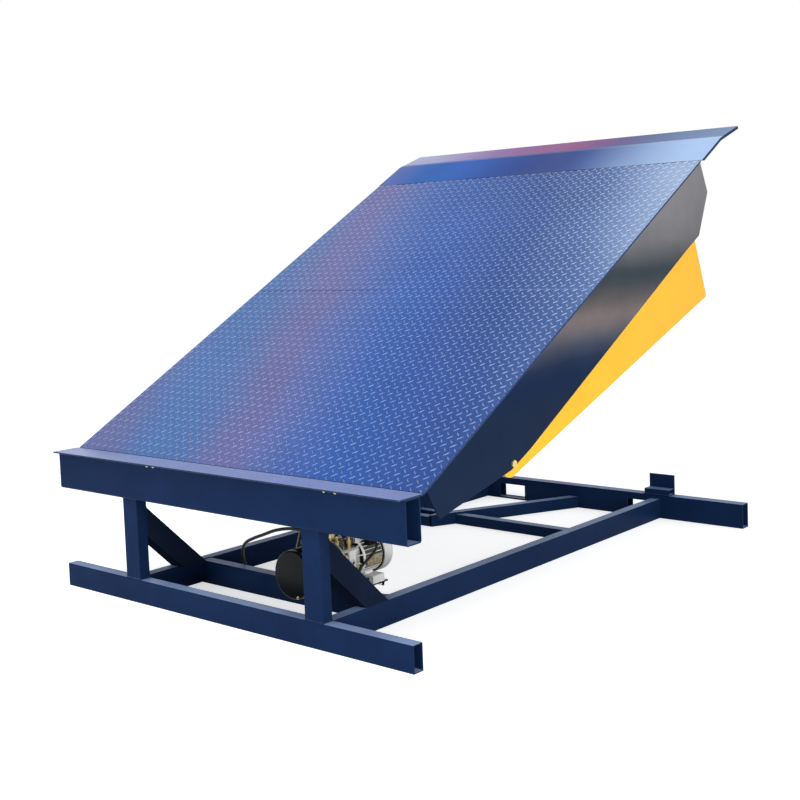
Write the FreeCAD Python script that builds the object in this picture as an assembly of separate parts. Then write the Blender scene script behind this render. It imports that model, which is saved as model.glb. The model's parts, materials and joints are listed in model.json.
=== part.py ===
# Hydraulic dock leveler: a welded floor frame, a deck hinged on its rear beam, a lip
# hinged on the deck's front edge, side toe guards, a lift cylinder and its power unit.
# Millimetres. X runs across the deck, +Y from the rear hinge towards the lip, +Z up.
# The origin is on the floor, in the middle under the rear sill.
# On the deck, s is the distance along it from its rear edge, and a depth is below its top face.
import FreeCAD
import Part

import math
import os

from FreeCAD import Placement, Rotation, Vector

# Floor frame
frame_width = 2000.0
rear_sill_depth = 50.0
rail_height = 100.0
rail_width = 50.0
tube_wall = 4.0
rail_outer_x = 575.0
rail_length = 2450.0
front_sill_depth = 60.0
front_sill_height = 120.0
front_sill_overhang = 30.0
front_sill_wall = 4.5
rear_cross_y = 340.0
mid_cross_y = 1820.0
light_tube = 50.0
stub_tube_y = 1700.0
stub_tube_length = 195.0
diagonal_end_x = 80.0
diagonal_height = 60.0

# Fork pockets through the front sill
pocket_bottom = 8.0
pocket_height = 76.0
left_pocket_x = -437.0
left_pocket_width = 170.0
right_pocket_x = 387.0
right_pocket_width = 130.0

# Posts, beam and braces at the rear
post_width = 90.0
beam_bottom = 442.0
beam_depth = 80.0
beam_height = 160.0
beam_wall = 5.0
beam_corner_radius = 10.0
brace_top_reach = 42.0
brace_depth = 88.0
brace_foot_y = 336.0
top_plate_thickness = 6.0
top_plate_overhang = 30.0
top_plate_gap = 7.0

# Deck
raise_angle = 29.5
deck_side_gap = 5.0
deck_length = 2411.0
deck_seam = 1300.0
tread_thickness = 8.0
rib_count = 6
rib_edge_inset = 245.0
rib_depth = 120.0
rib_flange = 50.0
rib_wall = 5.0
header_thickness = 8.0
rear_header_inset = 40.0
rear_header_depth = 100.0
front_header_inset = 17.0

# Side skirts: their lower corners as (distance from the nearer end of the deck, depth)
skirt_thickness = 6.0
skirt_rear_corners = ((22.0, 135.0), (451.0, 262.0), (593.0, 272.0))
skirt_front_corners = ((322.0, 282.0), (196.0, 287.0), (16.0, 157.0))
skirt_rear_inset = 19.0
skirt_front_inset = 9.0

# Rear hinge
hinge_count = 4
hinge_edge_inset = 120.0
hinge_pin_depth = 32.0
hinge_pin_reach = 32.0
hinge_pin_radius = 11.0
hinge_eye_radius = 19.0
hinge_lug_thickness = 12.0
hinge_lug_foot = 76.0
hinge_knuckle_thickness = 24.0
hinge_knuckle_rise = 20.0
hinge_side_play = 0.5
pin_clearance = 0.3
pin_head_radius = 16.0
pin_head = 6.0

# Lip
lip_thickness = 14.0
lip_gap = 5.0
lip_heel_bevel = 20.0
lip_bend_reach = 229.0
lip_tip_reach = 200.0
lip_bend_angle = 10.5
lip_pin_ahead = 27.0
lip_pin_depth = 34.0
lip_rod_radius = 9.0
lip_rod_end = 10.0
lip_knuckle_radius = 16.0
lip_knuckle_width = 80.0
lip_knuckle_web = 60.0
lip_knuckle_play = 2.0
deck_knuckle_count = 4
deck_knuckle_inset = 155.0

# Toe guards behind the skirts
guard_thickness = 8.0
guard_gap = 6.0
guard_pivot_s = 472.0
guard_pivot_depth = 248.0
guard_heel_radius = 54.0
guard_ear_rise = 8.0
guard_ear_end = 330.0
guard_ear_slope = 100.0
guard_rise_at_slope = 10.0
guard_front_inset = 223.0
guard_front_depth = 284.0
guard_toe_inset = 265.0
guard_toe_depth = 578.0
guard_toe_corner = (7.0, 20.0)
guard_fold = 9.0
guard_bolt_radius = 8.0
guard_nut_radius = 15.0
guard_nut_thickness = 10.0
guard_collar_radius = 20.0
guard_stop_reach = 300.0
guard_stop_lift = 6.0
guard_stop_radius = 6.0
guard_slot_slack = 0.5

# Lip keepers on the front sill
keeper_inner_x = 490.0
keeper_width = 140.0
keeper_box_height = 30.0
keeper_plate_height = 69.0
keeper_plate_thickness = 8.0

# Lift cylinder
cylinder_foot_y = 428.0
cylinder_foot_z = 85.0
cylinder_head_s = 700.0
cylinder_head_depth = 100.0
barrel_radius = 40.0
barrel_bore_radius = 32.0
barrel_floor = 12.0
barrel_gland = 30.0
barrel_nut_radius = 47.0
barrel_nut_length = 36.0
barrel_nut_sides = 12
port_radius = 11.0
port_height = 14.0
port_reach = 24.0
rod_radius = 22.5
piston_length = 40.0
piston_play = 1.0
cylinder_pin_radius = 14.0
cylinder_pin_end = 8.0
cylinder_eye_radius = 32.0
cylinder_eye_width = 40.0
cylinder_neck = 10.0
cylinder_lug_thickness = 12.0
cylinder_lug_base = 90.0
cylinder_side_play = 7.5
rod_eye_slack = 6.0
foot_bracket_lift = 4.0

# Power unit: oil tank, valve block and motor in line, on a bracket over the rear cross tube
unit_x = 268.0
unit_z = 198.0
tank_rear_y = 125.0
tank_radius = 96.0
tank_length = 205.0
tank_rounding = 9.0
flange_thickness = 12.0
flange_radius = 92.0
block_length = 113.0
block_width = 116.0
block_height = 104.0
block_chamfer = 6.0
bracket_width = 90.0
bracket_plate = 6.0
bracket_inset = 3.0
bracket_length = 40.0
valve_side = 20.0
valve_places = (36.0, 89.0)
valve_heights = (44.0, 40.0)
coil_radii = (15.0, 19.0)
valve_stem_radius = 8.0
valve_hex_radius = 14.0
valve_hex_height = 12.0
valve_stem_show = 8.0
motor_radius = 76.0
motor_length = 117.0
motor_fin_count = 28
motor_fin_height = 7.0
motor_fin_thickness = 3.0
shield_radius = 79.0
shield_thickness = 6.0
cowl_radius = 86.0
cowl_length = 64.0
cowl_rounding = 12.0

# Terminal box under the motor
terminal_box_length = 68.0
terminal_box_width = 100.0
terminal_box_height = 30.0
terminal_box_ahead = 50.0
terminal_box_side = 30.0
terminal_box_gap = 4.0
terminal_lid_edge = 5.0
terminal_lid_height = 6.0
terminal_neck_width = 54.0
terminal_neck_inset = 10.0
gland_radius = 8.0
gland_length = 16.0

# Pressure hose from the valve block to the lift cylinder's foot
hose_radius = 7.0
hose_section_sides = 8
hose_bend_share = 0.45
hose_route = [
    (230.0, 378.0, 292.0),
    (180.0, 378.0, 292.0),
    (112.0, 368.0, 306.0),
    (28.0, 356.0, 308.0),
    (-56.0, 350.0, 290.0),
    (-120.0, 350.0, 264.0),
    (-188.0, 354.0, 240.0),
    (-262.0, 367.0, 208.0),
    (-301.0, 383.0, 164.0),
    (-312.0, 399.0, 110.0),
    (-292.0, 407.0, 62.0),
    (-249.0, 414.0, 32.0),
    (-190.0, 420.0, 25.0),
    (-137.0, 420.0, 30.0),
    (-90.0, 420.0, 30.0),
]
elbow_radius = 9.0
elbow_hex_radius = 12.0
elbow_x = 248.0
hose_end_block = 30.0

# Faces on the bevelled eye of a flame-cut lug, and round small fittings
eye_faces = 4
round_sides = 16

half_width = frame_width / 2
deck_width = frame_width - 2 * deck_side_gap
half_deck = deck_width / 2
beam_top = beam_bottom + beam_height
beam_front = beam_depth / 2
dock_height = beam_top + top_plate_thickness
rear_face = -rear_sill_depth / 2
rail_start = rear_sill_depth / 2
rail_end = rail_start + rail_length
front_face = rail_end + front_sill_depth
rail_inner_x = rail_outer_x - rail_width
post_inner_x = rail_outer_x - post_width

hinge_y = beam_front + hinge_pin_reach
hinge_z = dock_height - hinge_pin_depth
# The deck's rear edge stands as far behind the pin when raised as it stands ahead when level,
# so it is at the dock's height in both places.
edge_lead = hinge_pin_depth * math.tan(math.radians(raise_angle / 2))
edge_y = hinge_y - edge_lead

rear_header_end = rear_header_inset + header_thickness
front_header_end = deck_length - front_header_inset
rib_bottom = -tread_thickness - rib_depth
lip_start = deck_length + lip_gap
lip_pin_s = deck_length + lip_pin_ahead
guard_outer_x = half_deck - skirt_thickness - guard_gap
guard_inner_x = guard_outer_x - guard_thickness

foot_end = cylinder_eye_radius + cylinder_neck

tank_end = tank_rear_y + tank_length
block_start = tank_end + flange_thickness
block_end = block_start + block_length
block_top = unit_z + block_height / 2
motor_end = block_end + motor_length

# How far a cutting shape runs past what it cuts
past = 1.0

parts = {}


def spread(count, reach):
    """Evenly spaced places from -reach to +reach."""
    return [-reach + 2 * reach * index / (count - 1) for index in range(count)]


def box(x0, x1, y0, y1, z0, z1):
    return Part.makeBox(x1 - x0, y1 - y0, z1 - z0, Vector(x0, y0, z0))


def tube_x(x0, x1, y0, y1, z0, z1, wall):
    """A rectangular tube along X with open ends."""
    inner = box(x0 - past, x1 + past, y0 + wall, y1 - wall, z0 + wall, z1 - wall)
    return box(x0, x1, y0, y1, z0, z1).cut(inner)


def tube_y(x0, x1, y0, y1, z0, z1, wall):
    """A rectangular tube along Y with open ends."""
    inner = box(x0 + wall, x1 - wall, y0 - past, y1 + past, z0 + wall, z1 - wall)
    return box(x0, x1, y0, y1, z0, z1).cut(inner)


def tube_z(x0, x1, y0, y1, z0, z1, wall):
    """A rectangular tube along Z with open ends."""
    inner = box(x0 + wall, x1 - wall, y0 + wall, y1 - wall, z0 - past, z1 + past)
    return box(x0, x1, y0, y1, z0, z1).cut(inner)


def plate(points, x0, x1):
    """A plate with its outline in the plane across X, given as (y, z) corners."""
    corners = [Vector(x0, y, z) for y, z in points]
    face = Part.Face(Part.makePolygon(corners + corners[:1]))
    return face.extrude(Vector(x1 - x0, 0, 0))


def round_x(y, z, radius, x0, x1):
    """A round bar along X."""
    return Part.makeCylinder(radius, x1 - x0, Vector(x0, y, z), Vector(1, 0, 0))


def round_y(x, z, radius, y0, y1):
    """A round bar along Y."""
    return Part.makeCylinder(radius, y1 - y0, Vector(x, y0, z), Vector(0, 1, 0))


def ring_of_corners(centre, along, radius, sides):
    """The corners of a regular outline round an axis."""
    axis = Vector(along).normalize()
    first = Vector(1, 0, 0) if abs(axis.z) > 0.9 else axis.cross(Vector(0, 0, 1)).normalize()
    second = axis.cross(first)
    corners = []
    for index in range(sides):
        angle = 2 * math.pi * index / sides
        corners.append(centre + first * (radius * math.cos(angle)) + second * (radius * math.sin(angle)))
    return corners


def prism(base, along, radius, sides=6):
    """A bar with flat sides, such as a nut, from its base along a direction."""
    corners = ring_of_corners(base, along, radius, sides)
    return Part.Face(Part.makePolygon(corners + corners[:1])).extrude(along)


def nut_x(y, z, radius, x0, x1, sides=6):
    return prism(Vector(x0, y, z), Vector(x1 - x0, 0, 0), radius, sides)


def turned_y(profile, x, z):
    """A solid turned about an axis along Y, from (radius, y) points that start and end on the axis."""
    corners = [Vector(x + radius, y, z) for radius, y in profile]
    face = Part.Face(Part.makePolygon(corners + corners[:1]))
    return face.revolve(Vector(x, 0, z), Vector(0, 1, 0), 360)


def tangent_angle(centre, radius, point, side):
    """The direction in which a line from a point touches a circle, on the side named by +1 or -1."""
    dy = point[0] - centre[0]
    dz = point[1] - centre[1]
    return math.atan2(dz, dy) + side * math.acos(radius / math.hypot(dy, dz))


def eye_plate(centre, radius, base_a, base_b, x0, x1):
    """A flame-cut lug: a bevelled eye round its pin on a straight base. The eye's outline
    runs from base_a to base_b in the turning direction from Y to Z."""
    start = tangent_angle(centre, radius, base_a, 1)
    sweep = (tangent_angle(centre, radius, base_b, -1) - start) % (2 * math.pi)
    step = sweep / eye_faces
    reach = radius / math.cos(step / 2)
    outline = [base_a]
    for index in range(eye_faces):
        angle = start + (index + 0.5) * step
        outline.append((centre[0] + reach * math.cos(angle), centre[1] + reach * math.sin(angle)))
    return plate(outline + [base_b], x0, x1)


def mirror_x(shape):
    return shape.mirror(Vector(0, 0, 0), Vector(1, 0, 0))


deck_place = Placement(Vector(0, edge_y, dock_height), Rotation(Vector(1, 0, 0), raise_angle))


def on_deck(shape):
    """Moves a shape drawn in deck sizes (x across, y along the deck, z off its top face)."""
    return shape.transformed(deck_place.toMatrix(), True)


def add(name, *shapes):
    solids = []
    for shape in shapes:
        solids.extend(shape.Solids)
    parts[name] = Part.makeCompound(solids) if len(solids) > 1 else solids[0]


def add_pair(name, right_shape):
    add("right_" + name, right_shape)
    add("left_" + name, mirror_x(right_shape))


# Floor frame

def make_floor_frame():
    add("rear_sill", tube_x(-half_width, half_width, rear_face, rail_start, 0, rail_height, tube_wall))
    half_sill = half_width + front_sill_overhang
    sill = tube_x(-half_sill, half_sill, rail_end, front_face, 0, front_sill_height, front_sill_wall)
    for start, width in ((left_pocket_x, left_pocket_width), (right_pocket_x, right_pocket_width)):
        top = pocket_bottom + pocket_height
        sill = sill.cut(box(start, start + width, rail_end - past, front_face + past, pocket_bottom, top))
    add("front_sill", sill)
    add_pair("side_rail", tube_y(rail_inner_x, rail_outer_x, rail_start, rail_end, 0, rail_height, tube_wall))
    add("rear_cross_tube", tube_x(-rail_inner_x, rail_inner_x, rear_cross_y, rear_cross_y + rail_width,
                                  0, rail_height, tube_wall))
    stub_end = -rail_inner_x + stub_tube_length
    add("left_stub_tube", tube_x(-rail_inner_x, stub_end, stub_tube_y, stub_tube_y + light_tube,
                                 0, light_tube, tube_wall))
    make_diagonal(stub_end)


def make_diagonal(start_x):
    """The slanted floor tube, and the middle cross tube in two lengths that butt against its sides."""
    start_y = stub_tube_y + light_tube / 2
    run_x = diagonal_end_x - light_tube / 2 - start_x
    run_y = rail_end - start_y
    length = math.hypot(run_x, run_y)
    bearing = -math.degrees(math.atan2(run_x, run_y))
    turn = Placement(Vector(start_x, start_y, 0), Rotation(Vector(0, 0, 1), bearing)).toMatrix()
    half = light_tube / 2
    # Both ends run long and are cut back by what they meet.
    slanted = tube_y(-half, half, -length, 2 * length, 0, diagonal_height, tube_wall).transformed(turn, True)
    add("diagonal_brace", slanted.common(box(start_x, rail_inner_x, stub_tube_y, rail_end, 0, diagonal_height)))
    bar = box(-half, half, -length, 2 * length, -past, diagonal_height).transformed(turn, True)
    cross = tube_x(-rail_inner_x, rail_inner_x, mid_cross_y, mid_cross_y + light_tube,
                   0, light_tube, tube_wall)
    add("mid_cross_tube", cross.cut(bar))


def make_rear_tower():
    add_pair("post", tube_z(post_inner_x, rail_outer_x, rear_face, rail_start,
                            rail_height, beam_bottom, tube_wall))
    outer = box(-half_width, half_width, -beam_front, beam_front, beam_bottom, beam_top)
    outer = outer.makeFillet(beam_corner_radius, long_edges(outer))
    inner = box(-half_width - past, half_width + past, -beam_front + beam_wall, beam_front - beam_wall,
                beam_bottom + beam_wall, beam_top - beam_wall)
    inner = inner.makeFillet(beam_corner_radius - beam_wall, long_edges(inner))
    add("hinge_beam", outer.cut(inner))
    front_edge = edge_y - top_plate_gap
    add("rear_top_plate", box(-half_width, half_width, -beam_front - top_plate_overhang, front_edge,
                              beam_top, dock_height))
    make_brace()
    make_frame_lugs()


def long_edges(shape):
    return [edge for edge in shape.Edges if abs(edge.Length - shape.BoundBox.XLength) < 0.001]


def make_brace():
    """A slanted tube from each post's front face down to the side rail."""
    top = (rail_start, beam_bottom - brace_top_reach)
    foot = (brace_foot_y, rail_height)
    slope = math.atan2(foot[1] - top[1], foot[0] - top[0])
    drop = brace_depth / math.cos(slope)
    back = -brace_depth / math.sin(slope)
    outline = [top, foot, (foot[0] - back, rail_height), (rail_start, top[1] - drop)]
    outer = plate(outline, post_inner_x, rail_outer_x)
    wall_drop = tube_wall / math.cos(slope)
    wall_back = -tube_wall / math.sin(slope)
    # The hollow runs past both cut ends.
    reach = post_width / 2
    rise = reach * math.tan(slope)
    hollow = [
        (top[0] - reach, top[1] - wall_drop - rise),
        (foot[0] - wall_back + reach, rail_height + rise),
        (foot[0] - back + wall_back + reach, rail_height + rise),
        (top[0] - reach, top[1] - drop + wall_drop - rise),
    ]
    inner = plate(hollow, post_inner_x + tube_wall, rail_outer_x - tube_wall)
    add_pair("brace", outer.cut(inner))


hinge_places = spread(hinge_count, half_width - hinge_edge_inset)


def make_frame_lugs():
    """Two lugs on the beam for each hinge, one on each side of the deck's knuckle."""
    centre = (hinge_y, hinge_z)
    bore = round_x(hinge_y, hinge_z, hinge_pin_radius + pin_clearance, -half_width, half_width)
    inner = hinge_knuckle_thickness / 2 + hinge_side_play
    lugs = []
    for place in hinge_places:
        for x0 in (place - inner - hinge_lug_thickness, place + inner):
            lug = eye_plate(centre, hinge_eye_radius, (beam_front, hinge_z - hinge_lug_foot),
                            (beam_front, hinge_z + hinge_eye_radius), x0, x0 + hinge_lug_thickness)
            lugs.append(lug.cut(bore))
    add("frame_hinge_lugs", *lugs)


def make_lip_keeper():
    outer_x = keeper_inner_x + keeper_width
    top = front_sill_height + keeper_box_height
    plate_start = front_face - keeper_plate_thickness / 2
    foot = tube_x(keeper_inner_x, outer_x, rail_end, plate_start, front_sill_height, top, tube_wall)
    upright = box(keeper_inner_x, outer_x, plate_start, plate_start + keeper_plate_thickness,
                  front_sill_height, top + keeper_plate_height)
    add("lip_keeper_boxes", foot, mirror_x(foot))
    add("lip_keeper_plates", upright, mirror_x(upright))


# Deck

rib_places = spread(rib_count, half_deck - rib_edge_inset)


def make_deck_plates():
    add("rear_tread_plate", on_deck(box(-half_deck, half_deck, 0, deck_seam, -tread_thickness, 0)))
    add("front_tread_plate", on_deck(box(-half_deck, half_deck, deck_seam, deck_length, -tread_thickness, 0)))
    inner_x = half_deck - skirt_thickness
    rib_end = front_header_end - header_thickness
    add("rear_header", on_deck(box(-inner_x, inner_x, rear_header_inset, rear_header_end,
                                   -tread_thickness - rear_header_depth, -tread_thickness)))
    add("front_header", on_deck(box(-inner_x, inner_x, rib_end, front_header_end,
                                    rib_bottom, -tread_thickness)))
    ribs = []
    for place in rib_places:
        rib = box(0, rib_flange, rear_header_end, rib_end, rib_bottom, -tread_thickness)
        rib = rib.cut(box(rib_wall, rib_flange + past, rear_header_end - past, rib_end + past,
                          rib_bottom + rib_wall, -tread_thickness - rib_wall))
        if place < 0:
            rib = mirror_x(rib)
        rib.translate(Vector(place, 0, 0))
        ribs.append(on_deck(rib))
    add("deck_ribs", *ribs)


def make_skirts():
    outline = [(skirt_rear_inset, -tread_thickness)]
    outline += [(along, -depth) for along, depth in skirt_rear_corners]
    outline += [(deck_length - along, -depth) for along, depth in skirt_front_corners]
    outline.append((deck_length - skirt_front_inset, -tread_thickness))
    outer_x = half_deck
    skirt = plate(outline, outer_x - skirt_thickness, outer_x)
    hole = round_x(guard_pivot_s, -guard_pivot_depth, guard_bolt_radius + pin_clearance,
                   outer_x - skirt_thickness - past, outer_x + past)
    add_pair("skirt", on_deck(skirt.cut(hole)))


def make_hinge_knuckles():
    """The deck's knuckle and pin at each hinge, with a head on both ends of the pin."""
    pin_s = -edge_lead
    centre = (pin_s, -hinge_pin_depth)
    bore = round_x(*centre, hinge_pin_radius + pin_clearance, -half_deck, half_deck)
    half_pin = hinge_knuckle_thickness / 2 + hinge_side_play + hinge_lug_thickness + hinge_side_play
    foot = -tread_thickness - rear_header_depth + hinge_knuckle_rise
    knuckles = []
    pins = []
    for place in hinge_places:
        x0 = place - hinge_knuckle_thickness / 2
        knuckle = eye_plate(centre, hinge_eye_radius, (rear_header_inset, -tread_thickness),
                            (rear_header_inset, foot), x0, x0 + hinge_knuckle_thickness)
        knuckles.append(on_deck(knuckle.cut(bore)))
        pin = round_x(*centre, hinge_pin_radius, place - half_pin, place + half_pin)
        heads = [nut_x(*centre, pin_head_radius, place - half_pin - pin_head, place - half_pin),
                 nut_x(*centre, pin_head_radius, place + half_pin, place + half_pin + pin_head)]
        pins.append(on_deck(pin.fuse(heads)))
    add("deck_hinge_knuckles", *knuckles)
    add("deck_hinge_pins", *pins)


def make_lip():
    """A plate bent down towards its tip, with a bevelled heel so that it can swing past the deck's edge."""
    bend_s = deck_length + lip_bend_reach
    slope = math.radians(lip_bend_angle)
    tip = (bend_s + lip_tip_reach * math.cos(slope), -lip_tip_reach * math.sin(slope))
    under_tip = (tip[0] - lip_thickness * math.sin(slope), tip[1] - lip_thickness * math.cos(slope))
    under_bend = (bend_s - lip_thickness * math.tan(slope / 2), -lip_thickness)
    outline = [(lip_start, 0), (bend_s, 0), tip, under_tip, under_bend,
               (lip_start + lip_heel_bevel, -lip_thickness)]
    add("lip_plate", on_deck(plate(outline, -half_width, half_width)))
    make_lip_hinge()


def make_lip_hinge():
    """Knuckles on the deck and on the lip side by side, on one rod."""
    centre = (lip_pin_s, -lip_pin_depth)
    bore = round_x(*centre, lip_rod_radius + pin_clearance, -half_deck, half_deck)
    half = lip_knuckle_width / 2
    pitch = lip_knuckle_width + lip_knuckle_play
    on_front = []
    on_lip = []
    places = spread(deck_knuckle_count, half_deck - deck_knuckle_inset)
    for index, place in enumerate(places):
        arm = eye_plate(centre, lip_knuckle_radius, (front_header_end, rib_bottom + hinge_knuckle_rise),
                        (front_header_end, -lip_pin_depth + lip_knuckle_radius), place - half, place + half)
        on_front.append(on_deck(arm.cut(bore)))
        # Each pair of deck knuckles has the lip's two between them.
        beside = place + (pitch if index % 2 == 0 else -pitch)
        web = eye_plate(centre, lip_knuckle_radius, (lip_pin_s, -lip_thickness),
                        (lip_pin_s + lip_knuckle_web, -lip_thickness), beside - half, beside + half)
        on_lip.append(on_deck(web.cut(bore)))
    add("deck_lip_knuckles", *on_front)
    add("lip_knuckles", *on_lip)
    rod_end = places[-1] + half + lip_rod_end
    add("lip_hinge_rod", on_deck(round_x(*centre, lip_rod_radius, -rod_end, rod_end)))


def stop_point(degrees):
    """Where the guard's stop peg stands, seen from the pivot at an angle off the deck's plane."""
    angle = math.radians(degrees)
    return (guard_pivot_s + guard_stop_reach * math.cos(angle),
            -guard_pivot_depth + guard_stop_reach * math.sin(angle))


def make_toe_guard():
    """A plate that hangs from one bolt behind the skirt, and folds up when its toe meets the floor."""
    pivot_s = guard_pivot_s
    pivot_n = -guard_pivot_depth
    toe_s = deck_length - guard_toe_inset
    toe = (toe_s, -guard_toe_depth)
    heel = tangent_angle((pivot_s, pivot_n), guard_heel_radius, toe, -1)
    touch = (pivot_s + guard_heel_radius * math.cos(heel), pivot_n + guard_heel_radius * math.sin(heel))
    outline = [
        (pivot_s, pivot_n),
        (pivot_s, pivot_n + guard_heel_radius),
        (pivot_s + guard_ear_end, pivot_n + guard_heel_radius + guard_ear_rise),
        (pivot_s + guard_ear_end + guard_ear_slope, pivot_n + guard_rise_at_slope),
        (deck_length - guard_front_inset, -guard_front_depth),
        (toe_s + guard_toe_corner[0], -guard_toe_depth + guard_toe_corner[1]),
        toe,
        touch,
    ]
    body = plate(outline, guard_inner_x, guard_outer_x)
    heel_disc = round_x(pivot_s, pivot_n, guard_heel_radius, guard_inner_x, guard_outer_x)
    body = body.fuse(heel_disc).removeSplitter()
    cut_x = (guard_inner_x - past, guard_outer_x + past)
    body = body.cut(round_x(pivot_s, pivot_n, guard_bolt_radius + pin_clearance, *cut_x))
    add_pair("toe_guard", on_deck(body.cut(stop_slot(*cut_x))))
    skirt_inner_x = half_deck - skirt_thickness
    nut_face = guard_inner_x - pin_clearance
    bolt = round_x(pivot_s, pivot_n, guard_bolt_radius, nut_face, half_deck)
    collar = nut_x(pivot_s, pivot_n, guard_collar_radius, guard_outer_x + pin_clearance, skirt_inner_x,
                   round_sides)
    nut = nut_x(pivot_s, pivot_n, guard_nut_radius, nut_face - guard_nut_thickness, nut_face)
    head = nut_x(pivot_s, pivot_n, guard_nut_radius, half_deck, half_deck + guard_bolt_radius)
    pivot_bolt = on_deck(bolt.fuse([collar, nut, head]))
    add("guard_pivot_bolts", pivot_bolt, mirror_x(pivot_bolt))
    stop = stop_point(guard_stop_lift)
    peg = round_x(*stop, guard_stop_radius, nut_face, skirt_inner_x)
    cap = nut_x(*stop, guard_nut_radius, nut_face - guard_bolt_radius, nut_face)
    stop_peg = on_deck(peg.fuse(cap))
    add("guard_stop_pegs", stop_peg, mirror_x(stop_peg))


def stop_slot(x0, x1):
    """The curved slot in which the stop peg runs while the guard folds up."""
    radius = guard_stop_radius + guard_slot_slack
    high = guard_stop_lift
    low = guard_stop_lift - guard_fold
    inner = guard_stop_reach - radius
    outer = guard_stop_reach + radius

    def at(reach, degrees):
        angle = math.radians(degrees)
        across = reach * math.cos(angle)
        return Vector(x0, guard_pivot_s + across, -guard_pivot_depth + reach * math.sin(angle))

    middle = (high + low) / 2
    edges = [
        Part.Arc(at(inner, high), at(inner, middle), at(inner, low)).toShape(),
        Part.makeLine(at(inner, low), at(outer, low)),
        Part.Arc(at(outer, low), at(outer, middle), at(outer, high)).toShape(),
        Part.makeLine(at(outer, high), at(inner, high)),
    ]
    slot = Part.Face(Part.Wire(edges)).extrude(Vector(x1 - x0, 0, 0))
    for degrees in (high, low):
        slot = slot.fuse(round_x(*stop_point(degrees), radius, x0, x1))
    return slot


# Lift cylinder

def level_length():
    """The distance between the cylinder's pins with the deck level."""
    head_y = hinge_y + edge_lead + cylinder_head_s
    head_z = dock_height - cylinder_head_depth
    return math.hypot(head_y - cylinder_foot_y, head_z - cylinder_foot_z)


def make_cylinder():
    foot = Vector(0, cylinder_foot_y, cylinder_foot_z)
    head = deck_place.multVec(Vector(0, cylinder_head_s, -cylinder_head_depth))
    along = head - foot
    # The barrel is as long as the stroke asks, and the piston stands at its far end when raised.
    piston_start = foot_end + barrel_floor + piston_play + along.Length - level_length()
    bore_end = piston_start + piston_length + piston_play
    # Drawn along +Y from the foot pin, then swung to its slope.
    slope = math.degrees(math.atan2(along.z, along.y))
    place = Placement(foot, Rotation(Vector(1, 0, 0), slope)).toMatrix()
    half_eye = cylinder_eye_width / 2
    add("cylinder_barrel", make_barrel(bore_end, half_eye).transformed(place, True))
    add("cylinder_rod", make_rod(piston_start, along.Length, half_eye).transformed(place, True))
    make_cylinder_lugs(half_eye)
    make_cylinder_bracket(half_eye)


def make_barrel(bore_end, half_eye):
    barrel_length = bore_end + barrel_gland
    tube = round_y(0, 0, barrel_radius, foot_end, barrel_length)
    eye = nut_x(0, 0, cylinder_eye_radius, -half_eye, half_eye, round_sides)
    neck = box(-half_eye, half_eye, 0, foot_end + past, -cylinder_eye_radius, cylinder_eye_radius)
    gland_nut = prism(Vector(0, barrel_length - barrel_nut_length, 0), Vector(0, barrel_nut_length, 0),
                      barrel_nut_radius, barrel_nut_sides)
    port_z = barrel_radius - past
    port = prism(Vector(0, foot_end + port_reach, port_z), Vector(0, 0, port_height), port_radius)
    barrel = tube.fuse([eye, neck, gland_nut, port])
    barrel = barrel.cut(round_y(0, 0, barrel_bore_radius, foot_end + barrel_floor, bore_end))
    barrel = barrel.cut(round_y(0, 0, rod_radius + pin_clearance, bore_end - past, barrel_length + past))
    return barrel.cut(round_x(0, 0, cylinder_pin_radius + pin_clearance, -half_eye - past, half_eye + past))


def make_rod(piston_start, length, half_eye):
    """The rod with its piston, drawn out as far as the raised deck needs."""
    rod = round_y(0, 0, rod_radius, piston_start, length - cylinder_eye_radius)
    piston = round_y(0, 0, barrel_bore_radius - pin_clearance, piston_start, piston_start + piston_length)
    # The bore is wide round its pin, because the pin's path is not quite the rod's.
    eye = round_x(length, 0, cylinder_eye_radius + rod_eye_slack, -half_eye, half_eye)
    bore = round_x(length, 0, cylinder_pin_radius + rod_eye_slack, -half_eye - past, half_eye + past)
    return rod.fuse([piston, eye]).cut(bore)


def make_cylinder_lugs(half_eye):
    """Two lugs under the tread plate that hold the rod's pin, between two ties."""
    s = cylinder_head_s
    n = -cylinder_head_depth
    inner = half_eye + cylinder_side_play
    outer = inner + cylinder_lug_thickness
    lugs = []
    for x0 in (-outer, inner):
        lug = eye_plate((s, n), cylinder_eye_radius, (s - cylinder_lug_base, -tread_thickness),
                        (s + cylinder_lug_base, -tread_thickness), x0, x0 + cylinder_lug_thickness)
        lug = lug.cut(round_x(s, n, cylinder_pin_radius, x0 - past, x0 + cylinder_lug_thickness + past))
        lugs.append(on_deck(lug))
    add("cylinder_deck_lugs", *lugs)
    pin_end = outer + cylinder_pin_end
    add("cylinder_deck_pin", on_deck(round_x(s, n, cylinder_pin_radius, -pin_end, pin_end)))
    inner_rib = rib_places[rib_count // 2]
    ties = []
    for start in (s - cylinder_lug_base - header_thickness, s + cylinder_lug_base):
        ties.append(on_deck(box(-inner_rib, inner_rib, start, start + header_thickness,
                                rib_bottom, -tread_thickness)))
    add("deck_cross_ties", *ties)


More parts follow.
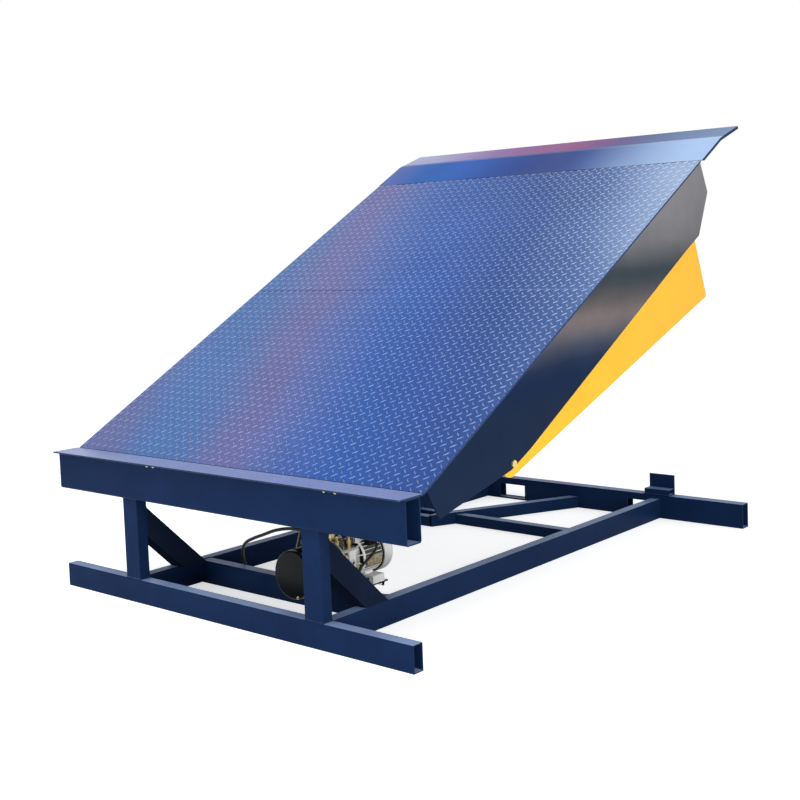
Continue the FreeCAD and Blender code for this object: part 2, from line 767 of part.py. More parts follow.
def make_cylinder_bracket(half_eye):
    """Two cheeks on the rear cross tube's front face that hold the barrel's foot pin."""
    inner = half_eye + pin_clearance
    outer = inner + cylinder_lug_thickness
    face_y = rear_cross_y + rail_width
    reach = cylinder_eye_radius
    # The corners of a regular eight-sided eye.
    bevel = reach * math.tan(math.pi / 8)
    corners = [
        (face_y, foot_bracket_lift),
        (cylinder_foot_y + reach, foot_bracket_lift),
        (cylinder_foot_y + reach, cylinder_foot_z + bevel),
        (cylinder_foot_y + bevel, cylinder_foot_z + reach),
        (cylinder_foot_y - bevel, cylinder_foot_z + reach),
        (face_y, rail_height),
    ]
    cheeks = []
    for x0 in (-outer, inner):
        bore = round_x(cylinder_foot_y, cylinder_foot_z, cylinder_pin_radius,
                       x0 - past, x0 + cylinder_lug_thickness + past)
        cheeks.append(plate(corners, x0, x0 + cylinder_lug_thickness).cut(bore))
    add("cylinder_foot_bracket", *cheeks)
    pin_end = outer + cylinder_pin_end
    add("cylinder_foot_pin", round_x(cylinder_foot_y, cylinder_foot_z, cylinder_pin_radius,
                                     -pin_end, pin_end))


# Power unit

def rounded_end(radius, start, end, rounding):
    """A turned drum's profile with its end at start rounded by two bevels."""
    step = rounding * (1 - math.cos(math.pi / 4))
    inward = 1 if end > start else -1
    return [
        (0, start),
        (radius - rounding, start),
        (radius - step, start + inward * step),
        (radius, start + inward * rounding),
        (radius, end),
        (0, end),
    ]


def make_power_unit():
    add("oil_tank", turned_y(rounded_end(tank_radius, tank_rear_y, tank_end, tank_rounding), unit_x, unit_z))
    flange = prism(Vector(unit_x, tank_end, unit_z), Vector(0, flange_thickness, 0), flange_radius,
                   2 * round_sides)
    block = box(unit_x - block_width / 2, unit_x + block_width / 2, block_start, block_end,
                unit_z - block_height / 2, block_top)
    corners = [edge for edge in block.Edges if abs(edge.Length - block_length) < 0.001]
    add("pump_block", flange.fuse(block.makeChamfer(block_chamfer, corners)))
    make_valves()
    make_motor()
    make_terminal_box()
    make_unit_bracket()


def make_valves():
    """Two cartridge valves standing on the block, each with a hexagon foot and a round coil."""
    valves = []
    for place, height, coil in zip(valve_places, valve_heights, coil_radii):
        foot = Vector(unit_x + valve_side, block_start + place, block_top)
        stem = prism(foot, Vector(0, 0, height), valve_stem_radius, round_sides)
        hexagon = prism(foot, Vector(0, 0, valve_hex_height), valve_hex_radius)
        coil_foot = foot + Vector(0, 0, valve_hex_height)
        coil_height = height - valve_hex_height - valve_stem_show
        sleeve = prism(coil_foot, Vector(0, 0, coil_height), coil, round_sides)
        valves.append(stem.fuse([hexagon, sleeve]))
    add("solenoid_valves", *valves)


def make_motor():
    """A finned housing drawn as one outline, its end shield, and the fan cowl behind it."""
    root = motor_radius - motor_fin_height
    half = motor_fin_thickness / 2
    corners = []
    for index in range(motor_fin_count):
        turn = 2 * math.pi * index / motor_fin_count
        outward = Vector(math.cos(turn), 0, math.sin(turn))
        aside = Vector(-math.sin(turn), 0, math.cos(turn))
        for reach, side in ((root, -half), (motor_radius, -half), (motor_radius, half), (root, half)):
            corners.append(Vector(unit_x, block_end, unit_z) + outward * reach + aside * side)
    body = Part.Face(Part.makePolygon(corners + corners[:1])).extrude(Vector(0, motor_length, 0))
    shield = prism(Vector(unit_x, motor_end, unit_z), Vector(0, shield_thickness, 0), shield_radius,
                   motor_fin_count)
    add("electric_motor", body.fuse(shield))
    cowl_start = motor_end + shield_thickness
    cowl = rounded_end(cowl_radius, cowl_start + cowl_length, cowl_start, cowl_rounding)
    add("fan_cowl", turned_y(cowl, unit_x, unit_z))


def make_terminal_box():
    """The connection box under the motor, with its lid facing the floor and a cable gland."""
    middle_x = unit_x + terminal_box_side
    half = terminal_box_width / 2
    top = unit_z - motor_radius - terminal_box_gap
    bottom = top - terminal_box_height
    start = block_end + terminal_box_ahead
    end = start + terminal_box_length
    case = box(middle_x - half, middle_x + half, start, end, bottom, top)
    lid = box(middle_x - half - terminal_lid_edge, middle_x + half + terminal_lid_edge,
              start - terminal_lid_edge, end + terminal_lid_edge, bottom - terminal_lid_height, bottom)
    neck = box(unit_x - terminal_neck_width / 2, unit_x + terminal_neck_width / 2,
               start + terminal_neck_inset, motor_end - terminal_neck_inset, top, unit_z - motor_radius / 2)
    neck = neck.cut(round_y(unit_x, unit_z, motor_radius + pin_clearance, block_end, motor_end))
    gland_foot = Vector(middle_x + half - terminal_neck_inset, end - 2 * gland_radius, bottom)
    gland = prism(gland_foot, Vector(0, 0, -gland_length), gland_radius, round_sides)
    add("terminal_box", case.fuse([lid, neck, gland]))


def make_unit_bracket():
    """A bent channel that stands on the rear cross tube and carries the valve block."""
    top = unit_z - block_height / 2
    half = bracket_width / 2
    y0 = block_start + bracket_inset
    y1 = y0 + bracket_length
    outer = box(unit_x - half, unit_x + half, y0, y1, rail_height, top)
    inner = box(unit_x - half + bracket_plate, unit_x + half - bracket_plate, y0 - past, y1 + past,
                rail_height + bracket_plate, top - bracket_plate)
    add("unit_bracket", outer.cut(inner))


def round_route(points):
    """Straight runs joined by tangent arcs, each taking its share of its two runs."""
    edges = []
    start = points[0]
    for before, corner, after in zip(points, points[1:], points[2:]):
        back = (before - corner).normalize()
        ahead = (after - corner).normalize()
        turn = math.pi - back.getAngle(ahead)
        trim = hose_bend_share * min((before - corner).Length, (after - corner).Length)
        radius = trim / math.tan(turn / 2)
        enter = corner + back * trim
        leave = corner + ahead * trim
        to_centre = (back + ahead).normalize()
        nearest = corner + to_centre * (radius / math.cos(turn / 2) - radius)
        edges.append(Part.makeLine(start, enter))
        edges.append(Part.Arc(enter, nearest, leave).toShape())
        print("hose bend radius %.0f" % radius)
        start = leave
    edges.append(Part.makeLine(start, points[-1]))
    return Part.Wire(edges)


def make_hose():
    """The hose, the fitting that it leaves the block by and the block that it ends in."""
    points = [Vector(*point) for point in hose_route]
    path = round_route(points)
    corners = ring_of_corners(points[0], points[1] - points[0], hose_radius, hose_section_sides)
    hose = path.makePipeShell([Part.makePolygon(corners + corners[:1])], True, False)
    section = Part.Face(Part.makePolygon(corners + corners[:1])).Area
    print("hose length %.0f, volume share %.4f" % (path.Length, hose.Volume / (section * path.Length)))
    add("hydraulic_hose", hose)
    first = points[0]
    riser = prism(Vector(elbow_x, first.y, block_top), Vector(0, 0, first.z + elbow_hex_radius - block_top),
                  elbow_hex_radius)
    elbow = prism(first, Vector(elbow_x - first.x, 0, 0), elbow_radius, round_sides)
    add("hose_elbow", riser.fuse(elbow))
    last = points[-1]
    half = hose_end_block / 2
    face_y = rear_cross_y + rail_width
    add("hose_end_block", box(last.x, last.x + hose_end_block, face_y, last.y + half,
                              last.z - half, last.z + half))


def write_parts():
    os.makedirs("parts", exist_ok=True)
    for name, shape in parts.items():
        if not shape.isValid():
            print("not valid:", name)
        shape.exportStep("parts/%s.step" % name)
    print(len(parts), "parts")


make_floor_frame()
make_rear_tower()
make_lip_keeper()
make_deck_plates()
make_skirts()
make_hinge_knuckles()
make_lip()
make_toe_guard()
make_cylinder()
make_power_unit()
make_hose()
write_parts()
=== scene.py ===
import json
import math

import bmesh
import bpy
from mathutils import Matrix, Vector


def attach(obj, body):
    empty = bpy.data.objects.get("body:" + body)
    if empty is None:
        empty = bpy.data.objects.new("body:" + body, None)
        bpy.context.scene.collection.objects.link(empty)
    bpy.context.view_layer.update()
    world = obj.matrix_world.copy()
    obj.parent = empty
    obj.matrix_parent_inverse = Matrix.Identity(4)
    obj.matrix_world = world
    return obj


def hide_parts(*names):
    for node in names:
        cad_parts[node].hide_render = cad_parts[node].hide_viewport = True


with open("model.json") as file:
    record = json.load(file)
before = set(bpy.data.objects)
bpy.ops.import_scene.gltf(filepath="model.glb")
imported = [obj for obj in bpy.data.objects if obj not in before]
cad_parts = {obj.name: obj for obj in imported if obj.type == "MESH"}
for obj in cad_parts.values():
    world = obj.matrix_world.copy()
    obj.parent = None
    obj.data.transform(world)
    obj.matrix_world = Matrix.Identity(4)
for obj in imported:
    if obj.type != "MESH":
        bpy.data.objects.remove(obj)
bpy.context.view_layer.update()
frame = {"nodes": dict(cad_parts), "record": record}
nodes = frame["nodes"]
print("stage: frame loaded,", len(nodes), "nodes")

# Lengths are in metres. X runs across the deck, Y towards the lip, Z up.
# The deck's own plane, raised as in the photograph: x across, y along it, z off its top face.
deckPlane = {"slope": math.radians(29.5), "edgeY": 0.06358, "edgeZ": 0.608, "halfWidth": 0.995,
             "seam": 1.300, "length": 2.411}
deckMatrix = (Matrix.Translation((0, deckPlane["edgeY"], deckPlane["edgeZ"]))
              @ Matrix.Rotation(deckPlane["slope"], 4, "X"))
# The power unit: its axis, which runs along Y, and where its parts begin and end on it.
unit = {"x": 0.268, "z": 0.198, "tankRear": 0.125, "tankEnd": 0.330, "blockStart": 0.342,
        "blockEnd": 0.455, "cowlStart": 0.578, "cowlEnd": 0.642}


def onDeck(across, along, height=0.0):
    return deckMatrix @ Vector((across, along, height))


def linear(red, green, blue):  # a display colour from 0 to 255, as the shaders take it
    out = []
    for value in (red, green, blue):
        share = value / 255
        out.append(share / 12.92 if share <= 0.04045 else ((share + 0.055) / 1.055) ** 2.4)
    return (*out, 1.0)


def addObject(name, data):
    added = bpy.data.objects.new(name, data)
    bpy.context.scene.collection.objects.link(added)
    return added


def takeMesh(host):  # what its modifiers or its bevel make of it; the host itself goes
    bpy.context.view_layer.update()
    result = bpy.data.meshes.new_from_object(host.evaluated_get(bpy.context.evaluated_depsgraph_get()))
    bpy.data.objects.remove(host)
    return result


def placePiece(name, mesh, material, body):  # its place is in its mesh
    mesh.materials.clear()
    mesh.materials.append(material)
    piece = addObject(name, mesh)
    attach(piece, body)
    return piece


# Camera

def makeCamera(view):
    yaw, pitch, roll = (math.radians(view[key]) for key in ("yaw", "pitch", "roll"))
    forward = Vector((math.sin(yaw) * math.cos(pitch), math.cos(yaw) * math.cos(pitch), math.sin(pitch)))
    level = Vector((math.cos(yaw), -math.sin(yaw), 0))
    upright = level.cross(forward)
    right = math.cos(roll) * level + math.sin(roll) * upright
    up = -math.sin(roll) * level + math.cos(roll) * upright
    camera = addObject("camera", bpy.data.cameras.new("camera"))
    camera.matrix_world = (Matrix.Translation(view["location"])
                           @ Matrix((right, up, -forward)).transposed().to_4x4())
    camera.data.sensor_width = 36
    camera.data.lens = view["lens"]
    camera.data.shift_x, camera.data.shift_y = view["shift"]
    camera.data.clip_end = 100
    bpy.context.scene.camera = camera


makeCamera({
    "location": (3.6096, -3.0825, 1.4486), "yaw": -40.83, "pitch": -4.50, "roll": -2.15,
    "lens": 54.66, "shift": (0.0069, -0.0717),
})
bpy.context.scene.view_settings.view_transform = "Standard"
print("stage: camera")


# Node groups

def newGroup(name, kind, inputs, outputs):
    group = bpy.data.node_groups.new(name, kind)
    for way, sockets in (("INPUT", inputs), ("OUTPUT", outputs)):
        for label, sort in sockets.items():
            group.interface.new_socket(label, in_out=way, socket_type="NodeSocket" + sort)
    return group, group.nodes.new("NodeGroupInput").outputs


def makeNode(tree, kind, settings=None, numbered=None, **named):  # inputs go by number or by name
    node = tree.nodes.new(kind)
    for key, value in (settings or {}).items():
        setattr(node, key, value)
    inputs = {**(numbered or {}), **{key.replace("_", " "): value for key, value in named.items()}}
    for key, value in inputs.items():  # a node stands for its first output
        if isinstance(value, bpy.types.Node):
            value = value.outputs[0]
        if isinstance(value, bpy.types.NodeSocket):
            tree.links.new(value, node.inputs[key])
        else:
            node.inputs[key].default_value = value
    return node


def makeMath(tree, operation, *values, clamp=False):
    return makeNode(tree, "ShaderNodeMath", {"operation": operation, "use_clamp": clamp},
                    dict(enumerate(values)))


def makeVector(tree, operation, *values):
    node = makeNode(tree, "ShaderNodeVectorMath", {"operation": operation}, dict(enumerate(values)))
    return node.outputs["Value" if operation in ("DOT_PRODUCT", "LENGTH") else "Vector"]


def makeRange(tree, value, low, high, kind="LINEAR"):  # 0 at the low end, 1 at the high end
    return makeNode(tree, "ShaderNodeMapRange", {"interpolation_type": kind}, Value=value, From_Min=low,
                    From_Max=high)


def makeNoise(tree, place, **values):
    return makeNode(tree, "ShaderNodeTexNoise", Vector=place, **values).outputs["Fac"]


def makeMix(tree, share, first, second):  # inputs 6 and 7 are the two colours
    node = makeNode(tree, "ShaderNodeMix", {"data_type": "RGBA"}, {6: first, 7: second}, Factor=share)
    return node.outputs[2]


def makePaintGroup():  # a mottled film with orange peel, with a painted sky reflection on level tops, and worn at the edges
    group, given = newGroup("paintFilm", "ShaderNodeTree", {
        "Colour": "Color", "Depth": "Float", "Top Colour": "Color", "Top Amount": "Float",
        "Edge Colour": "Color", "Edge Amount": "Float", "Mottle Scale": "Float", "Gloss Low": "Float",
        "Gloss High": "Float", "Peel": "Float",
    }, {"Colour": "Color", "Roughness": "Float", "Normal": "Vector"})
    place = makeNode(group, "ShaderNodeTexCoord").outputs
    mottle = makeNoise(group, place["Object"], Scale=given["Mottle Scale"], Detail=6.0, Roughness=0.62)
    deep = makeMath(group, "MULTIPLY", makeRange(group, mottle, 0.35, 0.65), given["Depth"], clamp=True)
    # Level faces get a paler, bluer tone: a painted reflection of the sky.
    parts = makeNode(group, "ShaderNodeSeparateXYZ", Vector=place["Normal"])
    level = makeRange(group, parts.outputs["Z"], 0.93, 0.99, "SMOOTHSTEP")
    cover = makeMath(group, "MULTIPLY", level, given["Top Amount"], clamp=True)
    top = makeMix(group, cover, given["Colour"], given["Top Colour"])
    film = makeMix(group, deep, top, (0, 0, 0, 1))
    # The rounded normal leaves the flat one only beside an edge.
    bevel = makeNode(group, "ShaderNodeBevel", {"samples": 4}, Radius=0.002).outputs["Normal"]
    flat = makeNode(group, "ShaderNodeNewGeometry").outputs["Normal"]
    edge = makeRange(group, makeVector(group, "DOT_PRODUCT", bevel, flat), 0.99, 0.88)
    broken = makeRange(group, makeNoise(group, place["Object"], Scale=55.0, Detail=4.0), 0.42, 0.6)
    worn = makeMath(group, "MULTIPLY", edge, broken)
    share = makeMath(group, "MULTIPLY", worn, given["Edge Amount"], clamp=True)
    gloss = makeNode(group, "ShaderNodeMapRange", Value=mottle, To_Min=given["Gloss Low"],
                     To_Max=given["Gloss High"])
    bump = makeNode(group, "ShaderNodeBump", Distance=0.0006, Strength=given["Peel"],
                    Height=makeNoise(group, place["Object"], Scale=420.0, Detail=2.0), Normal=bevel)
    makeNode(group, "NodeGroupOutput", Colour=makeMix(group, share, film, given["Edge Colour"]),
             Roughness=gloss, Normal=bump)
    return group


def makeBandGroup():  # how far a spot lies along a line over the part, a little stirred
    group, given = newGroup("bandPlace", "ShaderNodeTree", {
        "Direction": "Vector", "Start": "Float", "End": "Float", "Stir": "Float",
    }, {"Share": "Float"})
    place = makeNode(group, "ShaderNodeTexCoord").outputs["Object"]
    along = makeVector(group, "DOT_PRODUCT", place, given["Direction"])
    cloud = makeNoise(group, place, Scale=1.6, Detail=2.0, Roughness=0.45)
    even = makeMath(group, "SUBTRACT", cloud, 0.5)
    stirred = makeMath(group, "MULTIPLY_ADD", even, given["Stir"], along)
    makeNode(group, "NodeGroupOutput", Share=makeRange(group, stirred, given["Start"], given["End"]))
    return group


paintGroup = makePaintGroup()
bandGroup = makeBandGroup()


# Finishes

def newMaterial(name):
    material = bpy.data.materials.new(name)
    material.use_nodes = True
    tree = material.node_tree
    return material, tree, tree.nodes["Principled BSDF"]


def makeBands(tree, bands):  # tones that follow one another along a line
    start, end, tones = bands["start"], bands["end"], bands["tones"]
    place = makeNode(tree, "ShaderNodeGroup", {"node_tree": bandGroup}, Direction=bands["direction"],
                     Start=start, End=end, Stir=bands["stir"])
    ramp = makeNode(tree, "ShaderNodeValToRGB", Fac=place)
    ramp.color_ramp.interpolation = "CARDINAL"
    stops = ramp.color_ramp.elements
    while len(stops) < len(tones):
        stops.new(0.5)
    for stop, (distance, tone) in zip(stops, tones):
        stop.position = (distance - start) / (end - start)
        stop.color = linear(*tone)
    return ramp.outputs["Color"]


def makeFlank(tree, flank):  # 1 on the faces that lean to one side, 0 on those that lean away
    normal = makeNode(tree, "ShaderNodeTexCoord").outputs["Normal"]
    lean = makeVector(tree, "DOT_PRODUCT", normal, flank["direction"])
    return makeRange(tree, lean, flank["low"], flank["high"])


def makeGrooveShade(tree, grooveShade):  # 1 at the outer radius about the unit's axis, 0 in the grooves, where shade is painted
    place = makeNode(tree, "ShaderNodeTexCoord").outputs["Object"]
    apart = makeVector(tree, "SUBTRACT", place, (unit["x"], 0, unit["z"]))
    radius = makeVector(tree, "LENGTH", makeVector(tree, "MULTIPLY", apart, (1, 0, 1)))
    return makeRange(tree, radius, grooveShade["low"], grooveShade["high"])


def makeTone(tree, look):
    plain = linear(*look["colour"])
    if "bands" not in look:
        return plain
    rows = [makeBands(tree, bands) for bands in look["bands"]]
    tone = rows[0]
    # Two rows are parted by the way a face leans, by depth for the painted shade in grooves, or by a third
    # row.
    if "flank" in look:
        tone = makeMix(tree, makeFlank(tree, look["flank"]), *rows)
    elif "grooveShade" in look:
        tone = makeMix(tree, makeGrooveShade(tree, look["grooveShade"]), *rows)
    elif len(rows) == 3:
        tone = makeMix(tree, rows[2], rows[0], rows[1])
    if "face" in look:  # the tones lie on one side only, and the plain colour on the others
        tone = makeMix(tree, makeFlank(tree, look["face"]), plain, tone)
    return tone


def makeFinish(name, look):
    material, tree, shader = newMaterial(name)
    # A look's top tone is a painted reflection of the sky on level faces.
    film = makeNode(tree, "ShaderNodeGroup", {"node_tree": paintGroup}, Colour=makeTone(tree, look),
                    Depth=look["depth"], Top_Colour=linear(*look.get("top", look["colour"])),
                    Top_Amount=1.0 if "top" in look else 0.0, Edge_Colour=linear(*look["edge"]),
                    Edge_Amount=look.get("wear", 0.0), Mottle_Scale=look["mottle"],
                    Gloss_Low=look["gloss"][0], Gloss_High=look["gloss"][1], Peel=look["peel"])
    for output, label in (("Colour", "Base Color"), ("Roughness", "Roughness"), ("Normal", "Normal")):
        tree.links.new(film.outputs[output], shader.inputs[label])
    shader.inputs["Metallic"].default_value = look.get("metallic", 0.0)
    shader.inputs["Specular IOR Level"].default_value = look.get("specular", 0.5)
    return material


# Lines over the part that the bands follow: up the deck, and across it at a slant.
slope, edgeY, edgeZ = deckPlane["slope"], deckPlane["edgeY"], deckPlane["edgeZ"]
deckLine = (0.0, math.cos(slope), math.sin(slope))
deckStart = edgeY * math.cos(slope) + edgeZ * math.sin(slope)
slant = 0.38
slantLine = (1.0, slant * math.cos(slope), slant * math.sin(slope))
slantStart = slant * deckStart


def bandsAlong(line, start, stir, tones):
    places = [(start + distance, tone) for distance, tone in tones]
    return {"direction": line, "start": places[0][0], "end": places[-1][0], "stir": stir, "tones": places}


# Painted reflection on the deck's top: violet patches at the left, saturated blue in the middle, pale blue
# towards the right.
deckReflectionBands = bandsAlong(slantLine, slantStart, 0.22, [
    (-0.85, (86, 92, 142)), (-0.60, (60, 98, 154)), (-0.30, (66, 98, 152)), (-0.05, (90, 92, 144)),
    (0.16, (74, 92, 150)), (0.45, (44, 82, 151)), (0.85, (38, 72, 138)), (1.15, (48, 76, 132)),
    (1.45, (84, 108, 154)), (1.80, (142, 162, 194)),
])
# Tread lenses: darker tones on the faces that lean away are painted shade, and pale tones on the faces that
# lean the other way are painted highlight.
lensShadeBands = bandsAlong(slantLine, slantStart, 0.22, [
    (-0.90, (44, 74, 130)), (-0.05, (60, 64, 116)), (0.55, (24, 48, 102)), (1.80, (80, 100, 142)),
])
lensHighlightBands = bandsAlong(slantLine, slantStart, 0.22, [
    (-0.90, (122, 148, 194)), (-0.05, (142, 144, 194)), (0.45, (108, 142, 212)), (1.10, (122, 148, 204)),
    (1.80, (196, 212, 236)),
])
# The seam bead's tones are a painted reflection: dark at the left and pale towards the right.
seamReflectionBands = bandsAlong((1, 0, 0), 0.0, 0.05, [
    (-0.99, (52, 66, 112)), (-0.45, (58, 64, 112)), (-0.10, (66, 86, 146)), (0.30, (64, 90, 156)),
    (0.99, (104, 128, 176)),
])
# Painted reflection on the lip: pale blue towards the right on the flat strip, and a pink to violet patch
# across the tip.
lipFlatReflection = bandsAlong((1, 0, 0), 0.0, 0.08, [
    (-0.99, (88, 102, 166)), (-0.80, (50, 92, 164)), (-0.45, (42, 86, 162)), (0.05, (50, 68, 128)),
    (0.35, (80, 102, 152)), (0.75, (152, 176, 212)), (0.99, (164, 188, 222)),
])
lipTipReflection = bandsAlong((1, 0, 0), 0.0, 0.08, [
    (-0.95, (160, 160, 194)), (-0.45, (132, 104, 160)), (0.08, (130, 60, 122)), (0.40, (88, 72, 132)),
    (0.70, (84, 108, 150)), (0.99, (108, 132, 170)),
])
lipParting = bandsAlong(deckLine, deckStart, 0.0, [(2.662, (0, 0, 0)), (2.676, (255, 255, 255))])
# On the skirts the painted reflection bands lean back: 1.95 along the deck for each step down.
lean = 1.95
skirtLine = (0.0, math.cos(slope) - lean * math.sin(slope), math.sin(slope) + lean * math.cos(slope))
skirtStart = skirtLine[1] * edgeY + skirtLine[2] * edgeZ
skirtReflectionBands = bandsAlong(skirtLine, skirtStart, 0.16, [
    (0.30, (20, 36, 62)), (0.68, (30, 44, 72)), (0.84, (78, 80, 92)), (1.00, (114, 104, 105)),
    (1.12, (98, 92, 93)), (1.32, (59, 66, 73)), (1.46, (70, 76, 82)), (1.66, (114, 113, 116)),
    (2.20, (132, 130, 133)),
])

deckFace = {"direction": (0, -math.sin(slope), math.cos(slope)), "low": 0.2, "high": 0.6}

# The navy's top tone is a painted reflection of the sky on level tops.
navyPaint = makeFinish("navyPaint", {
    "colour": (23, 44, 80), "depth": 0.22, "top": (130, 152, 192), "edge": (70, 88, 130),
    "wear": 0.25, "mottle": 4.0, "gloss": (0.24, 0.38), "peel": 0.10, "specular": 0.02,
})
# The braces take a darker, greyer copy of the navy: painted shade.
braceShadePaint = makeFinish("braceShadePaint", {
    "colour": (28, 38, 58), "depth": 0.22, "edge": (50, 60, 84), "wear": 0.15, "mottle": 4.0,
    "gloss": (0.5, 0.7), "peel": 0.10, "specular": 0.0,
})
# The skirts are navy at the foot and greyer towards the top, with patches between: a painted reflection.
skirtPaint = makeFinish("skirtPaint", {
    "colour": (30, 50, 84), "depth": 0.2, "edge": (120, 118, 120), "wear": 0.25,
    "bands": [skirtReflectionBands], "mottle": 3.0, "gloss": (0.26, 0.4), "peel": 0.10, "specular": 0.03,
})
deckPaint = makeFinish("deckPaint", {
    "colour": (34, 56, 104), "depth": 0.12, "edge": (150, 168, 214), "wear": 0.25,
    "bands": [deckReflectionBands], "face": deckFace, "mottle": 2.2, "gloss": (0.22, 0.34), "peel": 0.08,
    "specular": 0.08,
})
# The whole tread is painted paler than the deck as a highlight. Its pale edges are partly wear and partly
# painted highlight.
treadHighlightAndShade = makeFinish("treadHighlightAndShade", {
    "colour": (130, 156, 210), "depth": 0.12, "edge": (200, 212, 236), "wear": 0.6,
    "bands": [lensShadeBands, lensHighlightBands],
    "flank": {"direction": (0.35, -0.818, -0.463), "low": -0.22, "high": 0.36}, "mottle": 18.0,
    "gloss": (0.18, 0.3), "peel": 0.05, "specular": 0.3,
})
lipPaint = makeFinish("lipPaint", {
    "colour": (40, 58, 94), "depth": 0.10, "edge": (120, 138, 180), "wear": 0.2,
    "bands": [lipFlatReflection, lipTipReflection, lipParting], "face": deckFace, "mottle": 2.6, "gloss": (0.18, 0.3),
    "peel": 0.05, "specular": 0.02,
})
seamPaint = makeFinish("seamPaint", {
    "colour": (48, 58, 102), "depth": 0.15, "edge": (80, 92, 140), "bands": [seamReflectionBands],
    "mottle": 3.0, "gloss": (0.3, 0.4), "peel": 0.05, "specular": 0.02,
})
# The plate's top tone is a painted reflection of the sky on its upper face.
platePaint = makeFinish("platePaint", {
    "colour": (34, 52, 84), "depth": 0.14, "top": (118, 132, 178), "edge": (150, 160, 200),
    "wear": 0.3, "mottle": 5.0, "gloss": (0.22, 0.34), "peel": 0.10, "specular": 0.10,
})
guardPaint = makeFinish("guardPaint", {
    "colour": (250, 186, 26), "depth": 0.08, "edge": (214, 176, 96), "wear": 0.2, "mottle": 3.0,
    "gloss": (0.3, 0.42), "peel": 0.08, "specular": 0.25,
})
tankPaint = makeFinish("tankPaint", {
    "colour": (18, 21, 24), "depth": 0.25, "edge": (70, 72, 74), "wear": 0.25, "mottle": 9.0,
    "gloss": (0.26, 0.4), "peel": 0.12, "specular": 0.08,
})
silverPaint = makeFinish("silverPaint", {
    "colour": (250, 250, 249), "depth": 0.08, "edge": (252, 252, 250), "wear": 0.4, "mottle": 14.0,
    "gloss": (0.3, 0.46), "peel": 0.15,
})
# The motor's fins are white on the crests and dark in the grooves between them: painted shade.
finPaint = makeFinish("finPaint", {
    "colour": (240, 241, 240), "depth": 0.16, "edge": (250, 250, 248), "wear": 0.4,
    "bands": [bandsAlong((0, 1, 0), 0.0, 0.0, [(0.44, (58, 60, 60)), (0.60, (64, 66, 66))]),
              bandsAlong((0, 1, 0), 0.0, 0.0, [(0.44, (250, 250, 249)), (0.60, (248, 248, 247))])],
    "grooveShade": {"low": 0.0705, "high": 0.0752}, "mottle": 14.0, "gloss": (0.3, 0.46), "peel": 0.15,
})
# Painted shade on the cowl: darker towards the bottom, lightest just above the axis.
cowlShadedPaint = makeFinish("cowlShadedPaint", {
    "colour": (240, 241, 240), "depth": 0.12, "edge": (250, 250, 248), "wear": 0.3,
    "bands": [bandsAlong((0, 0, 1), unit["z"], 0.0, [
        (-0.087, (104, 105, 98)), (-0.060, (170, 171, 166)), (-0.010, (222, 224, 222)),
        (0.040, (240, 241, 241)), (0.087, (206, 209, 208)),
    ])],
    "mottle": 14.0, "gloss": (0.26, 0.4), "peel": 0.15,
})
castMetal = makeFinish("castMetal", {
    "colour": (234, 232, 222), "depth": 0.4, "edge": (250, 250, 244), "wear": 0.6, "mottle": 60.0,
    "gloss": (0.24, 0.46), "peel": 0.3, "metallic": 0.3,
})
darkPlasticAndShade = makeFinish("darkPlasticAndShade", {
    "colour": (44, 45, 47), "depth": 0.3, "edge": (120, 122, 124), "wear": 0.3, "mottle": 24.0,
    "gloss": (0.35, 0.5), "peel": 0.05, "specular": 0.4,
})
hoseRubber = makeFinish("hoseRubber", {
    "colour": (28, 28, 30), "depth": 0.3, "edge": (44, 44, 46), "mottle": 40.0,
    "gloss": (0.35, 0.5), "peel": 0.25, "specular": 0.3,
})
zincPlate = makeFinish("zincPlate", {
    "colour": (222, 200, 134), "depth": 0.3, "edge": (238, 230, 204), "wear": 0.4, "mottle": 90.0,
    "gloss": (0.22, 0.38), "peel": 0.05, "metallic": 0.7,
})
ratingFoil = makeFinish("ratingFoil", {
    "colour": (184, 172, 136), "depth": 0.7, "edge": (220, 214, 196), "wear": 0.5, "mottle": 120.0,
    "gloss": (0.3, 0.45), "peel": 0.1, "metallic": 0.3, "specular": 0.4,
})
rodChrome = makeFinish("rodChrome", {
    "colour": (214, 216, 220), "depth": 0.08, "edge": (230, 232, 236), "mottle": 20.0,
    "gloss": (0.08, 0.16), "peel": 0.01, "metallic": 1.0,
})
# Black for the fan, plug, gasket and gland, and also for shade painted into the cowl gap, the port's bore
# and behind the bell.
darkPartsAndShade = makeFinish("darkPartsAndShade", {
    "colour": (18, 18, 20), "depth": 0.3, "edge": (24, 24, 26), "mottle": 30.0,
    "gloss": (0.6, 0.8), "peel": 0.05, "specular": 0.1,
})
slotFinishes = {
    "frame_paint": navyPaint, "deck_paint": deckPaint, "guard_paint": guardPaint, "tank_paint": tankPaint,
    "bare_aluminium": castMetal, "coil_body": darkPlasticAndShade, "motor_paint": silverPaint,
    "hose_rubber": hoseRubber, "zinc_plate": zincPlate, "rod_chrome": rodChrome,
}
nodeFinishes = {"rear_top_plate": platePaint, "left_skirt": skirtPaint, "right_skirt": skirtPaint,
                "lip_plate": lipPaint, "electric_motor": finPaint, "left_brace": braceShadePaint,
                "right_brace": braceShadePaint}
for part in frame["record"]["subparts"]:
    mesh = nodes[part["node"]].data
    mesh.materials.clear()
    mesh.materials.append(nodeFinishes.get(part["node"], slotFinishes[part["material_slot"]]))
print("stage: finishes")


# Geometry groups: rows of tread, heads on points, and beads along paths

def endTree(group, geometry, paint):  # real meshes in one finish
    real = makeNode(group, "GeometryNodeRealizeInstances", Geometry=geometry)
    makeNode(group, "NodeGroupOutput", None,
             {0: makeNode(group, "GeometryNodeSetMaterial", Geometry=real, Material=paint)})
    return group


def runTree(name, source, group, values):  # the result as a plain mesh
    host = addObject(name, source)
    modifier = host.modifiers.new("run", "NODES")
    modifier.node_group = group
    for item in group.interface.items_tree:
        if item.in_out == "INPUT" and item.name in values:
            modifier[item.identifier] = values[item.name]
    return takeMesh(host)


